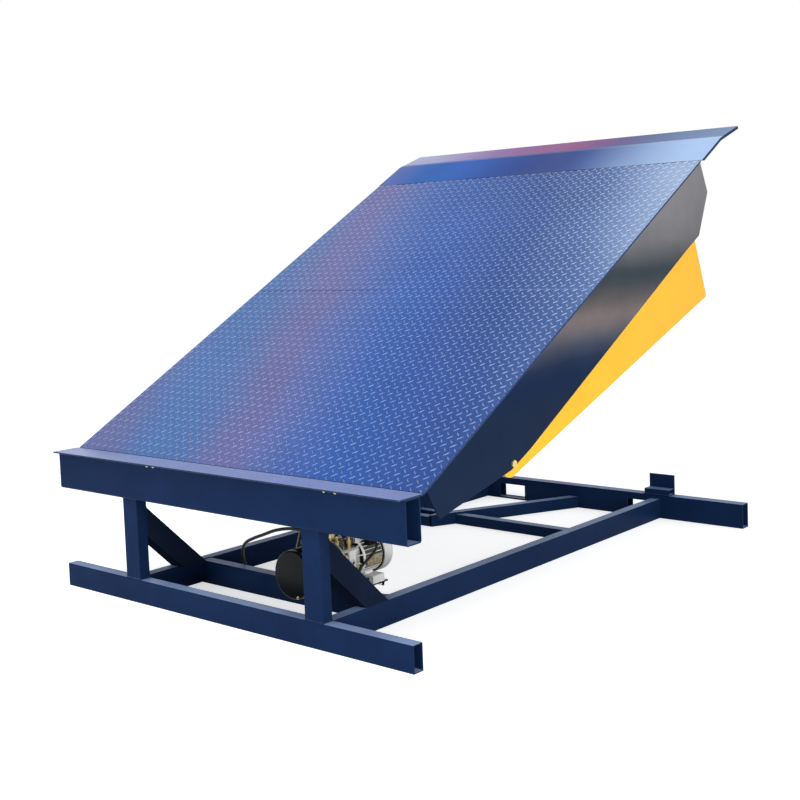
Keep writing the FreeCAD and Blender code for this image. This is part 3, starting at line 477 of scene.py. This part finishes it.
def makeTreadTree():  # the seed on a level grid, which is then moved and tilted
    group, given = newGroup("treadRows", "GeometryNodeTree", {
        "Seed": "Geometry", "Across": "Int", "Along": "Int", "Pitch": "Float", "Centre": "Vector",
        "Slope": "Vector", "Paint": "Material",
    }, {"Pattern": "Geometry"})
    grid = makeNode(group, "GeometryNodeMeshGrid")
    for label, axis in (("Across", "X"), ("Along", "Y")):
        reach = makeMath(group, "MULTIPLY", makeMath(group, "SUBTRACT", given[label], 1), given["Pitch"])
        group.links.new(given[label], grid.inputs["Vertices " + axis])
        group.links.new(reach.outputs["Value"], grid.inputs["Size " + axis])
    spread = makeNode(group, "GeometryNodeInstanceOnPoints", Points=grid, Instance=given["Seed"])
    move = makeNode(group, "GeometryNodeTransform", Geometry=spread, Translation=given["Centre"],
                    Rotation=given["Slope"])
    return endTree(group, move, given["Paint"])


def makeHeadTree():  # a head on every point, its axis along the point's own direction
    group, given = newGroup("headsOnPoints", "GeometryNodeTree", {
        "Points": "Geometry", "Head": "Object", "Metal": "Material",
    }, {"Heads": "Geometry"})
    facing, size = (makeNode(group, "GeometryNodeInputNamedAttribute", {"data_type": kind}, Name=label)
                    for label, kind in (("facing", "FLOAT_VECTOR"), ("size", "FLOAT")))
    turn = makeNode(group, "FunctionNodeAlignRotationToVector", {"axis": "Z"}, Vector=facing)
    head = makeNode(group, "GeometryNodeObjectInfo", {"transform_space": "ORIGINAL"}, Object=given["Head"])
    spread = makeNode(group, "GeometryNodeInstanceOnPoints", Points=given["Points"], Rotation=turn,
                      Scale=size, Instance=head.outputs["Geometry"])
    return endTree(group, spread, given["Metal"])


def makeBeadTree():  # a rippled weld bead along every path
    group, given = newGroup("weldBeads", "GeometryNodeTree", {
        "Paths": "Geometry", "Radius": "Float", "Ripple": "Float", "Pitch": "Float", "Seed": "Int",
        "Paint": "Material",
    }, {"Beads": "Geometry"})
    curve = makeNode(group, "GeometryNodeMeshToCurve", Mesh=given["Paths"])
    fine = makeNode(group, "GeometryNodeResampleCurve", {"mode": "LENGTH"}, Curve=curve,
                    Length=given["Pitch"])
    least = makeMath(group, "SUBTRACT", 1.0, given["Ripple"])
    # Inputs 2 and 3 and output 1 are the random value's float sockets.
    swell = makeNode(group, "FunctionNodeRandomValue", {"data_type": "FLOAT"}, {2: least, 3: 1.0},
                     Seed=given["Seed"])
    thick = makeNode(group, "GeometryNodeSetCurveRadius", Curve=fine, Radius=swell.outputs[1])
    ring = makeNode(group, "GeometryNodeCurvePrimitiveCircle", Resolution=7, Radius=given["Radius"])
    solid = makeNode(group, "GeometryNodeCurveToMesh", Curve=thick, Profile_Curve=ring, Fill_Caps=True)
    return endTree(group, solid, given["Paint"])


treadTree = makeTreadTree()
headTree = makeHeadTree()
beadTree = makeBeadTree()


def finishMesh(mesh, name):
    bmesh.ops.remove_doubles(mesh, verts=mesh.verts[:], dist=1e-6)
    bmesh.ops.recalc_face_normals(mesh, faces=mesh.faces)
    data = bpy.data.meshes.new(name)
    mesh.to_mesh(data)
    mesh.free()
    return data


# Tread pattern

def makeLens(tread):  # two raised lenses at right angles, half a pitch apart both ways
    mesh = bmesh.new()
    reach, width = tread["length"] / 2, tread["width"]
    outline = ((-1, 1), (-0.5, 1), (0, 1), (0.5, 1), (1, 1), (0.5, -1), (0, -1), (-0.5, -1))
    crown = ((-0.55, 0), (0, 1), (0.55, 0), (0, -1))
    for turn, shift in ((45, 0.0), (-45, tread["pitch"] / 2)):
        place = Matrix.Translation((shift, shift, 0)) @ Matrix.Rotation(math.radians(turn), 4, "Z")
        low = [mesh.verts.new(place @ Vector((share * reach, side * width / 2 * (1 - share * share),
                                              -tread["sunk"]))) for share, side in outline]
        top = [mesh.verts.new(place @ Vector((share * reach, side * width * tread["crown"],
                                              tread["height"]))) for share, side in crown]
        for first, second, third in ((0, 1, 0), (1, 2, 1), (2, 3, 1), (3, 4, 2),
                                     (4, 5, 2), (5, 6, 3), (6, 7, 3), (7, 0, 0)):
            mesh.faces.new((low[first], top[third], low[second]))
        for spot, before, after in ((1, 0, 1), (3, 1, 2), (5, 2, 3), (7, 3, 0)):
            mesh.faces.new((low[spot], top[before], top[after]))
        mesh.faces.new(list(reversed(top)))
        mesh.faces.new(low)
    return finishMesh(mesh, "lens")


def cutMesh(data, planes):  # each plane is a point and its outward direction
    mesh = bmesh.new()
    mesh.from_mesh(data)
    for point, direction in planes:
        cut = bmesh.ops.bisect_plane(mesh, geom=mesh.verts[:] + mesh.edges[:] + mesh.faces[:],
                                     plane_co=point, plane_no=direction, clear_outer=True)
        rim = [item for item in cut["geom_cut"] if isinstance(item, bmesh.types.BMEdge)]
        bmesh.ops.holes_fill(mesh, edges=rim, sides=0)
    mesh.to_mesh(data)
    mesh.free()


def makeTread():
    tread = {"pitch": 0.045, "length": 0.032, "width": 0.0080, "height": 0.0020, "sunk": 0.0002,
             "crown": 0.2, "edge": 0.001, "across": 46}
    lens, pitch, edge = makeLens(tread), tread["pitch"], tread["edge"]
    along = deckMatrix.to_3x3() @ Vector((0, 1, 0))
    side = deckPlane["halfWidth"] - edge
    for name, start, end, shift in (("rearTread", 0.0, deckPlane["seam"], 0.000),
                                    ("frontTread", deckPlane["seam"], deckPlane["length"], 0.014)):
        data = runTree(name, lens, treadTree, {
            "Across": tread["across"], "Along": int((end - start) / pitch) + 2, "Pitch": pitch,
            "Centre": onDeck(-pitch / 4 + shift, (start + end) / 2 - pitch / 4),
            "Slope": (slope, 0, 0), "Paint": treadHighlightAndShade,
        })
        cutMesh(data, [
            (Vector((side, 0, 0)), Vector((1, 0, 0))), (Vector((-side, 0, 0)), Vector((-1, 0, 0))),
            (onDeck(0, end - edge), along), (onDeck(0, start + edge), -along),
        ])
        placePiece(name, data, treadHighlightAndShade, "deck")
        print("stage:", name, len(data.polygons), "faces")


makeTread()


# Weld beads

def makeBeads(name, paths, weld, paint, body):
    verts, edges = [], []
    for path in paths:
        first = len(verts)
        verts += [tuple(point) for point in path]
        edges += [(first + index, first + index + 1) for index in range(len(path) - 1)]
    mesh = bpy.data.meshes.new(name)
    mesh.from_pydata(verts, edges, [])
    data = runTree(name, mesh, beadTree, {**weld, "Paint": paint})
    data.shade_smooth()
    placePiece(name, data, paint, body)
    print("stage:", name, len(data.polygons), "faces")


def stitches(start, end, bead, gap):  # short beads in a row between two points
    start, end = Vector(start), Vector(end)
    length = (end - start).length
    count = max(1, int((length + gap) / (bead + gap)))
    step = (end - start) / length
    first = (length - count * bead - (count - 1) * gap) / 2
    beads = [first + index * (bead + gap) for index in range(count)]
    return [(start + step * place, start + step * (place + bead)) for place in beads]


def seamsOfSide(side):  # the frame's seams on one side of its middle
    post, out, rail, tube = (side * across for across in (0.485, 0.575, 0.525, 0.5245))
    rear, front, low, high, top = 0.0255, 2.4745, 0.003, 0.098, 0.1003
    postFoot, postHead = 0.1005, 0.4415
    paths = [[(out, -rear, level), (post, -rear, level), (post, rear, level), (out, rear, level),
              (out, -rear, level)] for level in (postFoot, postHead)]
    # The rail's ends on both sills.
    paths += [[(edge, end, low), (edge, end, high)] for edge in (rail, out) for end in (rear, front)]
    paths += [[(rail, end, top), (out, end, top)] for end in (rear, front)]
    # The cross tubes on the rail.
    rearTube, middleTube, middleTop = (0.340, 0.390), (1.820, 1.870), 0.0503
    paths += [[(tube, along, low), (tube, along, high)] for along in rearTube]
    paths.append([(tube, along, top) for along in rearTube])
    paths.append([(tube, along, middleTop) for along in middleTube])
    # The brace on its post and on its rail.
    braceTop, braceEnd = 0.4000, 0.3365
    paths.append([(edge, rear, braceTop) for edge in (post, out)])
    paths.append([(edge, braceEnd, top) for edge in (rail, out)])
    # The lip keeper on the front sill.
    keeper = {"edges": (0.490, 0.630), "rear": 2.4748, "side": (2.476, 2.531), "foot": 0.1205,
              "front": 2.5305, "upright": (0.121, 0.149)}
    for edge in keeper["edges"]:
        paths.append([(side * edge, along, keeper["foot"]) for along in keeper["side"]])
        paths.append([(side * edge, keeper["front"], level) for level in keeper["upright"]])
    paths.append([(side * edge, keeper["rear"], keeper["foot"]) for edge in keeper["edges"]])
    return paths


def makeWelds():
    frameWeld = {"Radius": 0.0032, "Ripple": 0.35, "Pitch": 0.006, "Seed": 7}
    paths = seamsOfSide(1) + seamsOfSide(-1)
    paths.append([(-0.330, 1.700, 0.0503), (-0.330, 1.750, 0.0503)])  # the stub tube on the diagonal
    half, level = 0.98, 0.6015  # the top plate on the beam
    for edge, bead, gap in ((-0.0405, 0.06, 0.14), (0.0405, 0.05, 0.15)):
        paths += stitches((-half, edge, level), (half, edge, level), bead, gap)
    lug = {"places": (-0.880, -0.2933, 0.2933, 0.880), "edges": (-0.0245, -0.0125, 0.0125, 0.0245),
           "face": 0.0405, "low": 0.503, "high": 0.590}
    for hinge in lug["places"]:
        for offset in lug["edges"]:
            paths.append([(hinge + offset, lug["face"], level) for level in (lug["low"], lug["high"])])
    makeBeads("frameWelds", paths, frameWeld, navyPaint, "frame")

    deckWeld = {"Radius": 0.0028, "Ripple": 0.3, "Pitch": 0.007, "Seed": 3}
    under = {"ribs": (-0.750, -0.450, -0.150, 0.150, 0.450, 0.750), "skirt": 0.9885,
             "headers": (0.0475, 2.3865), "start": 0.10, "end": 2.33, "half": 0.97}
    depth, half = -0.0085, under["half"]
    rows = [(rib, 0.16) for rib in under["ribs"]] + [(under["skirt"], 0.14), (-under["skirt"], 0.14)]
    paths = []
    for across, gap in rows:
        paths += stitches((across, under["start"], depth), (across, under["end"], depth), 0.06, gap)
    for head in under["headers"]:
        paths += stitches((-half, head, depth), (half, head, depth), 0.05, 0.12)
    paths = [[onDeck(*point) for point in path] for path in paths]
    makeBeads("deckWelds", paths, deckWeld, navyPaint, "deck")

    seamWeld = {"Radius": 0.0036, "Ripple": 0.2, "Pitch": 0.006, "Seed": 5}
    line = [onDeck(end, deckPlane["seam"], -0.0020) for end in (-0.994, 0.994)]
    makeBeads("deckSeam", [line], seamWeld, seamPaint, "deck")

    lipWeld = {"Radius": 0.0026, "Ripple": 0.3, "Pitch": 0.006, "Seed": 9}
    knuckle = {"places": (-0.758, -0.362, 0.362, 0.758), "edges": (-0.0405, 0.0405),
               "along": (2.442, 2.497), "depth": -0.0145}
    paths = [[onDeck(place + edge, along, knuckle["depth"]) for along in knuckle["along"]]
             for place in knuckle["places"] for edge in knuckle["edges"]]
    makeBeads("lipWelds", paths, lipWeld, navyPaint, "lip")


makeWelds()


# Screws, plugs and nuts

def makeHexHead(name, profile):  # a chamfered hexagon on its washer, one metre across its corners
    mesh = bmesh.new()
    rings = []
    for radius, height, sides in profile:
        turns = [2 * math.pi * (index + 0.5) / sides for index in range(sides)]
        rings.append([mesh.verts.new((radius * math.cos(turn), radius * math.sin(turn), height))
                      for turn in turns])
    for low, high in zip(rings, rings[1:]):
        if len(low) == len(high):
            for index in range(len(low)):
                after = (index + 1) % len(low)
                mesh.faces.new((low[index], low[after], high[after], high[index]))
        else:
            mesh.faces.new(low)
            mesh.faces.new(high)
    mesh.faces.new(rings[0])
    mesh.faces.new(rings[-1])
    piece = addObject(name, finishMesh(mesh, name))
    piece.hide_render = True
    piece.hide_viewport = True
    return piece


hexHead = makeHexHead("hexHead", [  # radius, height and sides of each ring
    (0.62, -0.02, 24), (0.62, 0.09, 24), (0.50, 0.09, 6), (0.50, 0.40, 6), (0.43, 0.46, 6),
])


def makeHeads(name, spots, metal, body):  # each spot is a place, a direction and the head's width
    mesh = bpy.data.meshes.new(name)
    mesh.from_pydata([tuple(place) for place, facing, width in spots], [], [])
    mesh.attributes.new("facing", "FLOAT_VECTOR", "POINT")
    mesh.attributes.new("size", "FLOAT", "POINT")
    for index, (place, facing, width) in enumerate(spots):
        mesh.attributes["facing"].data[index].vector = facing
        mesh.attributes["size"].data[index].value = width
    data = runTree(name, mesh, headTree, {"Head": hexHead, "Metal": metal})
    placePiece(name, data, metal, body)
    print("stage:", name, len(data.polygons), "faces")


def aroundUnit(radius, count, first, y, facing, width):
    spots = []
    for index in range(count):
        angle = math.radians(first + 360 * index / count)
        outward = (math.cos(angle), 0, math.sin(angle))
        place = (unit["x"] + radius * outward[0], y, unit["z"] + radius * outward[2])
        spots.append((place, facing or outward, width))
    return spots


def makeScrews():
    beamScrews = [((x, -0.0400, 0.5965), (0, -1, 0), 0.011) for x in (-0.380, -0.340, 0.624, 0.678)]
    makeHeads("beamScrews", beamScrews, zincPlate, "frame")
    # Round the tank's flange and the cowl, the drain plug, under the terminal box, and beside the block.
    unitScrews = aroundUnit(0.082, 6, 30, unit["blockStart"], (0, 1, 0), 0.012)
    unitScrews += aroundUnit(0.0858, 4, 45, 0.590, None, 0.007)
    unitScrews.append(((0.298, unit["tankRear"], 0.1145), (0, -1, 0), 0.010))
    unitScrews += [((x, y, 0.082), (0, 0, -1), 0.007) for x in (0.250, 0.346) for y in (0.506, 0.572)]
    unitScrews += [((0.326, y, z), (1, 0, 0), 0.017) for y, z in ((0.370, 0.222), (0.436, 0.170))]
    unitScrews += [((0.210, y, z), (-1, 0, 0), 0.017) for y, z in ((0.370, 0.222), (0.424, 0.176))]
    makeHeads("unitScrews", unitScrews, zincPlate, "frame")


makeScrews()


# Turned pieces

def ringPoints(centre, first, second, radius, sides):
    turns = [2 * math.pi * index / sides for index in range(sides)]
    return [centre + radius * (math.cos(turn) * first + math.sin(turn) * second) for turn in turns]


def turnMesh(name, profile, sides, start, axis):  # (radius, distance) points turned about a line
    axis = Vector(axis).normalized()
    first = axis.orthogonal().normalized()
    second = axis.cross(first)
    mesh = bmesh.new()
    rings = []
    for radius, distance in profile:
        centre = Vector(start) + axis * distance
        points = ringPoints(centre, first, second, radius, sides) if radius else [centre]
        rings.append([mesh.verts.new(point) for point in points])
    for low, high in zip(rings, rings[1:]):
        for index in range(sides):
            after = (index + 1) % sides
            if len(low) == 1:
                mesh.faces.new((low[0], high[index], high[after]))
            elif len(high) == 1:
                mesh.faces.new((low[index], low[after], high[0]))
            else:
                mesh.faces.new((low[index], low[after], high[after], high[index]))
    return finishMesh(mesh, name)


def placeTurned(name, profile, sides, start, axis, finish):
    placePiece(name, turnMesh(name, profile, sides, start, axis), finish, "frame")


def joinMeshes(name, meshes):
    joined = bmesh.new()
    for data in meshes:
        joined.from_mesh(data)
    data = bpy.data.meshes.new(name)
    joined.to_mesh(data)
    joined.free()
    return data


def roundCorner(radius, size):  # a rounded shoulder at the start of a turned profile
    turns = [math.pi / 2 * step / 6 for step in range(7)]
    return [(radius - size + size * math.sin(turn), size - size * math.cos(turn)) for turn in turns]


def makeTank():
    tank = {"radius": 0.096, "rounding": 0.009, "rim": 0.0012}
    radius, rim = tank["radius"], tank["radius"] - tank["rim"]
    length = unit["tankEnd"] - unit["tankRear"]
    profile = [(0, 0)] + roundCorner(radius, tank["rounding"])
    for seam in (0.026, length - 0.020):  # the rolled seams of the two end caps
        profile += [(radius, seam - 0.004), (rim, seam - 0.002), (rim, seam + 0.002),
                    (radius, seam + 0.004)]
    profile += [(radius, length), (0, length)]
    data = turnMesh("tankShell", profile, 96, (unit["x"], unit["tankRear"], unit["z"]), (0, 1, 0))
    data.shade_smooth()
    shell = placePiece("tankShell", data, tankPaint, "frame")
    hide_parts("oil_tank")
    cap = [(0, 0.030), (0.010, 0.030), (0.014, 0.027), (0.014, 0.014), (0.009, 0.012), (0.009, -0.002),
           (0, -0.002)]
    capPlace = (unit["x"], 0.200, unit["z"] + radius)
    placeTurned("breatherCap", cap, 32, capPlace, (0, 0, 1), darkPlasticAndShade)


def spoke(turn):  # away from the unit's axis, and across that
    angle = 2 * math.pi * turn
    return Vector((math.cos(angle), 0, math.sin(angle))), Vector((-math.sin(angle), 0, math.cos(angle)))


def makeGrille(cowl):  # bars and gaps by turns, with spokes between
    sides, steps = cowl["sides"], 2 * cowl["rings"] + 1
    centre = Vector((unit["x"], unit["cowlEnd"] - cowl["sunk"], unit["z"]))
    grille = bmesh.new()
    rings = []
    for step in range(steps + 1):
        radius = cowl["hub"] + (cowl["eye"] - cowl["hub"]) * step / steps
        points = ringPoints(centre, Vector((1, 0, 0)), Vector((0, 0, 1)), radius, sides)
        rings.append([grille.verts.new(point) for point in points])
    for step, (low, high) in enumerate(zip(rings, rings[1:])):
        for index in range(sides):
            after = (index + 1) % sides
            if step % 2 == 0 or index % (sides // cowl["spokes"]) == 0:
                grille.faces.new((low[index], high[index], high[after], low[after]))
    grille.faces.new(rings[0])
    grille.normal_update()
    bmesh.ops.solidify(grille, geom=grille.faces[:], thickness=cowl["bar"])
    return finishMesh(grille, "cowlBars")


def makeCowl():
    cowl = {"radius": 0.086, "rear": 0.0795, "rounding": 0.026, "wall": 0.0025, "inside": 0.082,
            "sides": 96, "eye": 0.060, "hub": 0.008, "rings": 4, "spokes": 8, "bar": 0.0016, "sunk": 0.0020}
    length = unit["cowlEnd"] - unit["cowlStart"]
    bend = length - cowl["rounding"]
    corner = roundCorner(cowl["radius"], cowl["rounding"])
    profile = [(cowl["rear"], 0), (cowl["radius"], 0), (cowl["radius"], bend)]
    profile += [(radius, length - distance) for radius, distance in reversed(corner)][1:]
    profile += [(cowl["eye"], length), (cowl["eye"], length - cowl["wall"]), (cowl["inside"], bend),
                (cowl["inside"], 0.002), (cowl["rear"], 0.002), (cowl["rear"], 0)]
    base = Vector((unit["x"], unit["cowlStart"], unit["z"]))
    shell = turnMesh("cowlShell", profile, cowl["sides"], base, (0, 1, 0))
    data = joinMeshes("fanCowl", [shell, makeGrille(cowl)])
    cover = placePiece("fanCowl", data, cowlShadedPaint, "frame")
    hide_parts("fan_cowl")
    hub = turnMesh("fanHub", [(0, 0.030), (0.020, 0.030), (0.024, 0.026), (0.024, 0.004), (0, 0.004)], 32,
                   base, (0, 1, 0))
    # Each blade's corners: how far out, how far back and how far across.
    blade = ((0.022, 0.008, -0.008), (0.066, 0.008, -0.010), (0.066, 0.030, 0.010), (0.022, 0.030, 0.008))
    blades = bmesh.new()
    for index in range(7):
        outward, aside = spoke(index / 7)
        blades.faces.new([blades.verts.new(base + outward * reach + aside * twist + Vector((0, back, 0)))
                          for reach, back, twist in blade])
    blades.normal_update()
    bmesh.ops.solidify(blades, geom=blades.faces[:], thickness=0.002)
    fan = joinMeshes("motorFan", [hub, finishMesh(blades, "blades")])
    placePiece("motorFan", fan, darkPartsAndShade, "frame")


makeTank()
makeCowl()
print("stage: tank and cowl")


# Dressing of the motor and the valve block

def makeCollar(name, start, end, radius, wall, finish):
    inner, length = radius - wall, end - start
    profile = [(inner, 0), (radius, 0), (radius, length), (inner, length), (inner, 0)]
    placeTurned(name, profile, 64, (unit["x"], start, unit["z"]), (0, 1, 0), finish)


def makeBlockShape(name, low, high, bevel, finish, slot):  # a box with rounded edges
    mesh = bmesh.new()
    size = Vector(high) - Vector(low)
    middle = (Vector(high) + Vector(low)) / 2
    bmesh.ops.create_cube(mesh, size=1.0, matrix=Matrix.Translation(middle) @ Matrix.Diagonal((*size, 1)))
    bmesh.ops.bevel(mesh, geom=mesh.edges[:], offset=bevel, segments=3, profile=0.5, affect="EDGES")
    placePiece(name, finishMesh(mesh, name), finish, "frame")


blockShapes = {  # two corners, the edges' rounding, the finish and its slot
    "facePlate": ((0.3255, 0.388, 0.153), (0.3315, 0.426, 0.244), 0.0012, silverPaint, "motor_paint"),
    # A thin dark slab on the block's side: painted shade for the pocket there.
    "sidePocket": ((0.3255, 0.3445, 0.176), (0.3272, 0.384, 0.240), 0.0006, darkPlasticAndShade, "coil_body"),
}
motorShapes = {
    "valveHead": ((0.286, 0.444, 0.262), (0.314, 0.478, 0.289), 0.0015, castMetal, "bare_aluminium"),
    "coilPlug": ((0.316, 0.492, 0.246), (0.344, 0.530, 0.272), 0.004, darkPartsAndShade, "coil_body"),
    "ratingPlate": ((0.3412, 0.478, 0.164), (0.3452, 0.566, 0.206), 0.0006, ratingFoil, "zinc_plate"),
    "boxGasket": ((0.240, 0.499, 0.0830), (0.356, 0.588, 0.0878), 0.0008, darkPartsAndShade, "coil_body"),
    "boxFace": ((0.3478, 0.509, 0.0905), (0.3500, 0.569, 0.1160), 0.0008, silverPaint, "motor_paint"),
}


def makeFittings():  # the brass fittings on top of the block, stepped and hexagonal
    tall = [(0, 0.056), (0.0065, 0.056), (0.0065, 0.046), (0.0045, 0.045), (0.0045, 0.040), (0.0095, 0.039),
            (0.0095, 0.022), (0.007, 0.020), (0.007, -0.001), (0, -0.001)]
    short = [(0, 0.044), (0.004, 0.044), (0.006, 0.041), (0.006, 0.032), (0.0095, 0.031), (0.0095, 0.018),
             (0.0075, 0.016), (0.0075, -0.001), (0, -0.001)]
    brass = [turnMesh("fitting", profile, 6, place, (0, 0, 1)) for profile, place in (
        (tall, (0.298, 0.352, 0.250)), (short, (0.306, 0.413, 0.250)), (short, (0.236, 0.436, 0.250)))]
    placePiece("valveFittings", joinMeshes("valveFittings", brass), zincPlate, "frame")


def makeRibs():  # round the bell between the block and the motor
    corners = ((0.436, 0.056), (0.4556, 0.056), (0.4556, 0.077), (0.449, 0.077))
    count, half = 12, 0.0025
    ribs = []
    for index in range(count):
        outward, aside = spoke((index + 0.5) / count)
        mesh = bmesh.new()
        pairs = []
        for y, reach in corners:
            place = Vector((unit["x"], y, unit["z"])) + outward * reach
            pairs.append((mesh.verts.new(place - aside * half), mesh.verts.new(place + aside * half)))
        mesh.faces.new([pair[0] for pair in pairs])
        mesh.faces.new([pair[1] for pair in reversed(pairs)])
        for low, high in zip(pairs, pairs[1:] + pairs[:1]):
            mesh.faces.new((low[0], low[1], high[1], high[0]))
        ribs.append(finishMesh(mesh, "rib"))
    placePiece("bellRibs", joinMeshes("bellRibs", ribs), silverPaint, "frame")


def makeShapes(shapes):
    for name, shape in shapes.items():
        makeBlockShape(name, *shape)


def makePort():  # on the face plate
    place = (0.3315, 0.407, 0.194)
    port = [(0.006, 0.004), (0.012, 0.004), (0.013, 0.002), (0.013, -0.001), (0.006, -0.001),
            (0.006, 0.004)]
    bore = [(0, 0.0012), (0.006, 0.0012), (0.006, -0.001), (0, -0.001)]
    placeTurned("blockPort", port, 32, place, (1, 0, 0), castMetal)
    # The dark disc inside the port is painted shade for its bore.
    placeTurned("portBore", bore, 32, place, (1, 0, 0), darkPartsAndShade)


def makeGland():  # for the supply cable, under the terminal box
    gland = [(0, 0.017), (0.004, 0.017), (0.006, 0.014), (0.006, 0.006), (0.008, 0.005), (0.008, -0.001),
             (0, -0.001)]
    placeTurned("cableGland", gland, 6, (0.345, 0.566, 0.083), (0, 0, -1), darkPartsAndShade)


# A dark ring painted in as the shade in the gap between the motor and its cowl.
makeCollar("cowlSeal", 0.5716, 0.5784, 0.0806, 0.004, darkPartsAndShade)
makeCollar("bellShadow", 0.4532, 0.4554, 0.0772, 0.028, darkPartsAndShade)
makeCollar("motorCollar", unit["blockEnd"] + 0.0005, 0.469, 0.0785, 0.012, silverPaint)
makeFittings()
makeShapes(blockShapes)
makePort()
makeShapes(motorShapes)
makeGland()
makeRibs()
print("stage: motor and valve block")


# Hose# Hose and cable

def makeTube(name, route, radius):
    curve = bpy.data.curves.new(name, "CURVE")
    curve.dimensions = "3D"
    curve.resolution_u = 12
    curve.bevel_depth = radius
    curve.bevel_resolution = 6
    curve.use_fill_caps = True
    spline = curve.splines.new("NURBS")
    spline.points.add(len(route) - 1)
    for point, place in zip(spline.points, route):
        point.co = (*place, 1.0)
    spline.order_u = 3
    spline.use_endpoint_u = True
    data = takeMesh(addObject(name, curve))
    data.shade_smooth()
    return placePiece(name, data, hoseRubber, "frame")


def makeHose():
    route = [
        (0.230, 0.378, 0.292), (0.180, 0.378, 0.292), (0.112, 0.368, 0.306), (0.028, 0.356, 0.308),
        (-0.056, 0.350, 0.290), (-0.120, 0.350, 0.264), (-0.188, 0.354, 0.240), (-0.262, 0.367, 0.208),
        (-0.301, 0.383, 0.164), (-0.312, 0.399, 0.110), (-0.292, 0.407, 0.062), (-0.249, 0.414, 0.032),
        (-0.190, 0.420, 0.025), (-0.137, 0.420, 0.030), (-0.090, 0.420, 0.030),
    ]
    hose = makeTube("pressureHose", route, 0.007)
    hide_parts("hydraulic_hose")
    crimp = [(0, 0.030), (0.0072, 0.030), (0.0095, 0.029), (0.0095, 0.022), (0.0088, 0.021),
             (0.0088, 0.019), (0.0095, 0.018), (0.0095, 0.011), (0.0088, 0.010), (0.0088, 0.008),
             (0.0098, 0.007), (0.0098, -0.001), (0, -0.001)]
    ends = [turnMesh("crimp", crimp, 32, place, (-1, 0, 0)) for place in (route[0], route[-1])]
    placePiece("hoseCrimps", joinMeshes("hoseCrimps", ends), zincPlate, "frame")


def makeCable():
    route = [(0.338, 0.524, 0.262), (0.352, 0.530, 0.256), (0.360, 0.520, 0.234), (0.358, 0.496, 0.212),
             (0.356, 0.464, 0.194), (0.350, 0.436, 0.176), (0.345, 0.418, 0.148), (0.336, 0.428, 0.116),
             (0.326, 0.470, 0.104), (0.320, 0.507, 0.104)]
    makeTube("coilCable", route, 0.0055)


makeHose()
makeCable()
print("stage: hose and cable")


# Stage and light

def backdropShare(tree):  # 1 for what the camera, gloss and glass see
    path = makeNode(tree, "ShaderNodeLightPath").outputs
    seen = makeMath(tree, "MAXIMUM", path["Is Camera Ray"], path["Is Glossy Ray"])
    return makeMath(tree, "MAXIMUM", seen, path["Is Transmission Ray"])


def makeStage():
    stage = {"reach": 40.0, "level": -0.0005, "tone": 0.86, "glow": 0.62}
    reach, level, tone = stage["reach"], stage["level"], stage["tone"]
    data = bpy.data.meshes.new("floor")
    corners = [(x * reach, y * reach, level) for x, y in ((-1, -1), (1, -1), (1, 1), (-1, 1))]
    data.from_pydata(corners, [], [(0, 1, 2, 3)])
    floor = addObject("floor", data)
    material, tree, shader = newMaterial("floorWhite")
    shader.inputs["Base Color"].default_value = (tone, tone, tone, 1)
    shader.inputs["Roughness"].default_value = 1.0
    shader.inputs["Specular IOR Level"].default_value = 0.0
    shader.inputs["Emission Color"].default_value = (1, 1, 1, 1)
    glow = makeMath(tree, "MULTIPLY", backdropShare(tree), stage["glow"])
    tree.links.new(glow.outputs["Value"], shader.inputs["Emission Strength"])
    data.materials.append(material)


def makeSky():
    world = bpy.data.worlds.new("sky")
    world.use_nodes = True
    bpy.context.scene.world = world
    tree = world.node_tree
    tree.nodes.clear()
    soft = makeNode(tree, "ShaderNodeBackground", Color=(0.88, 0.93, 1.0, 1), Strength=0.55)
    white = makeNode(tree, "ShaderNodeBackground", Color=(1, 1, 1, 1), Strength=1.0)
    mix = makeNode(tree, "ShaderNodeMixShader", None, {1: soft, 2: white}, Fac=backdropShare(tree))
    makeNode(tree, "ShaderNodeOutputWorld", Surface=mix)


def makeLamp(name, lamp):
    light = bpy.data.lights.new(name, "AREA")
    light.shape = "RECTANGLE"
    light.size, light.size_y = lamp["size"]
    light.energy = lamp["power"]
    light.color = lamp["colour"]
    holder = addObject(name, light)
    holder.location = lamp["place"]
    holder.rotation_mode = "QUATERNION"
    holder.rotation_quaternion = (Vector(lamp["aim"]) - Vector(lamp["place"])).to_track_quat("-Z", "Y")


makeStage()
makeSky()
lamps = {
    "overhead": {"place": (-0.6, -1.0, 6.0), "aim": (0, 1, 0.6), "size": (3.5, 3.5), "power": 170,
                 "colour": (1.0, 0.99, 0.97)},
    "dockSide": {"place": (-2.0, -6.5, 2.6), "aim": (0, 0, 0.5), "size": (4, 2.5), "power": 150,
                 "colour": (0.97, 0.98, 1.0)},
    "rightSide": {"place": (6.5, -0.6, 3.0), "aim": (1, 1.6, 0.9), "size": (2.5, 2.5), "power": 200,
                  "colour": (1.0, 0.98, 0.95)},
    "lowFill": {"place": (3.6, -2.4, 0.55), "aim": (0.3, 0.5, 0.2), "size": (0.9, 0.5), "power": 32,
                "colour": (1.0, 0.99, 0.97)},
}
for name, lamp in lamps.items():
    makeLamp(name, lamp)
print("stage: light")
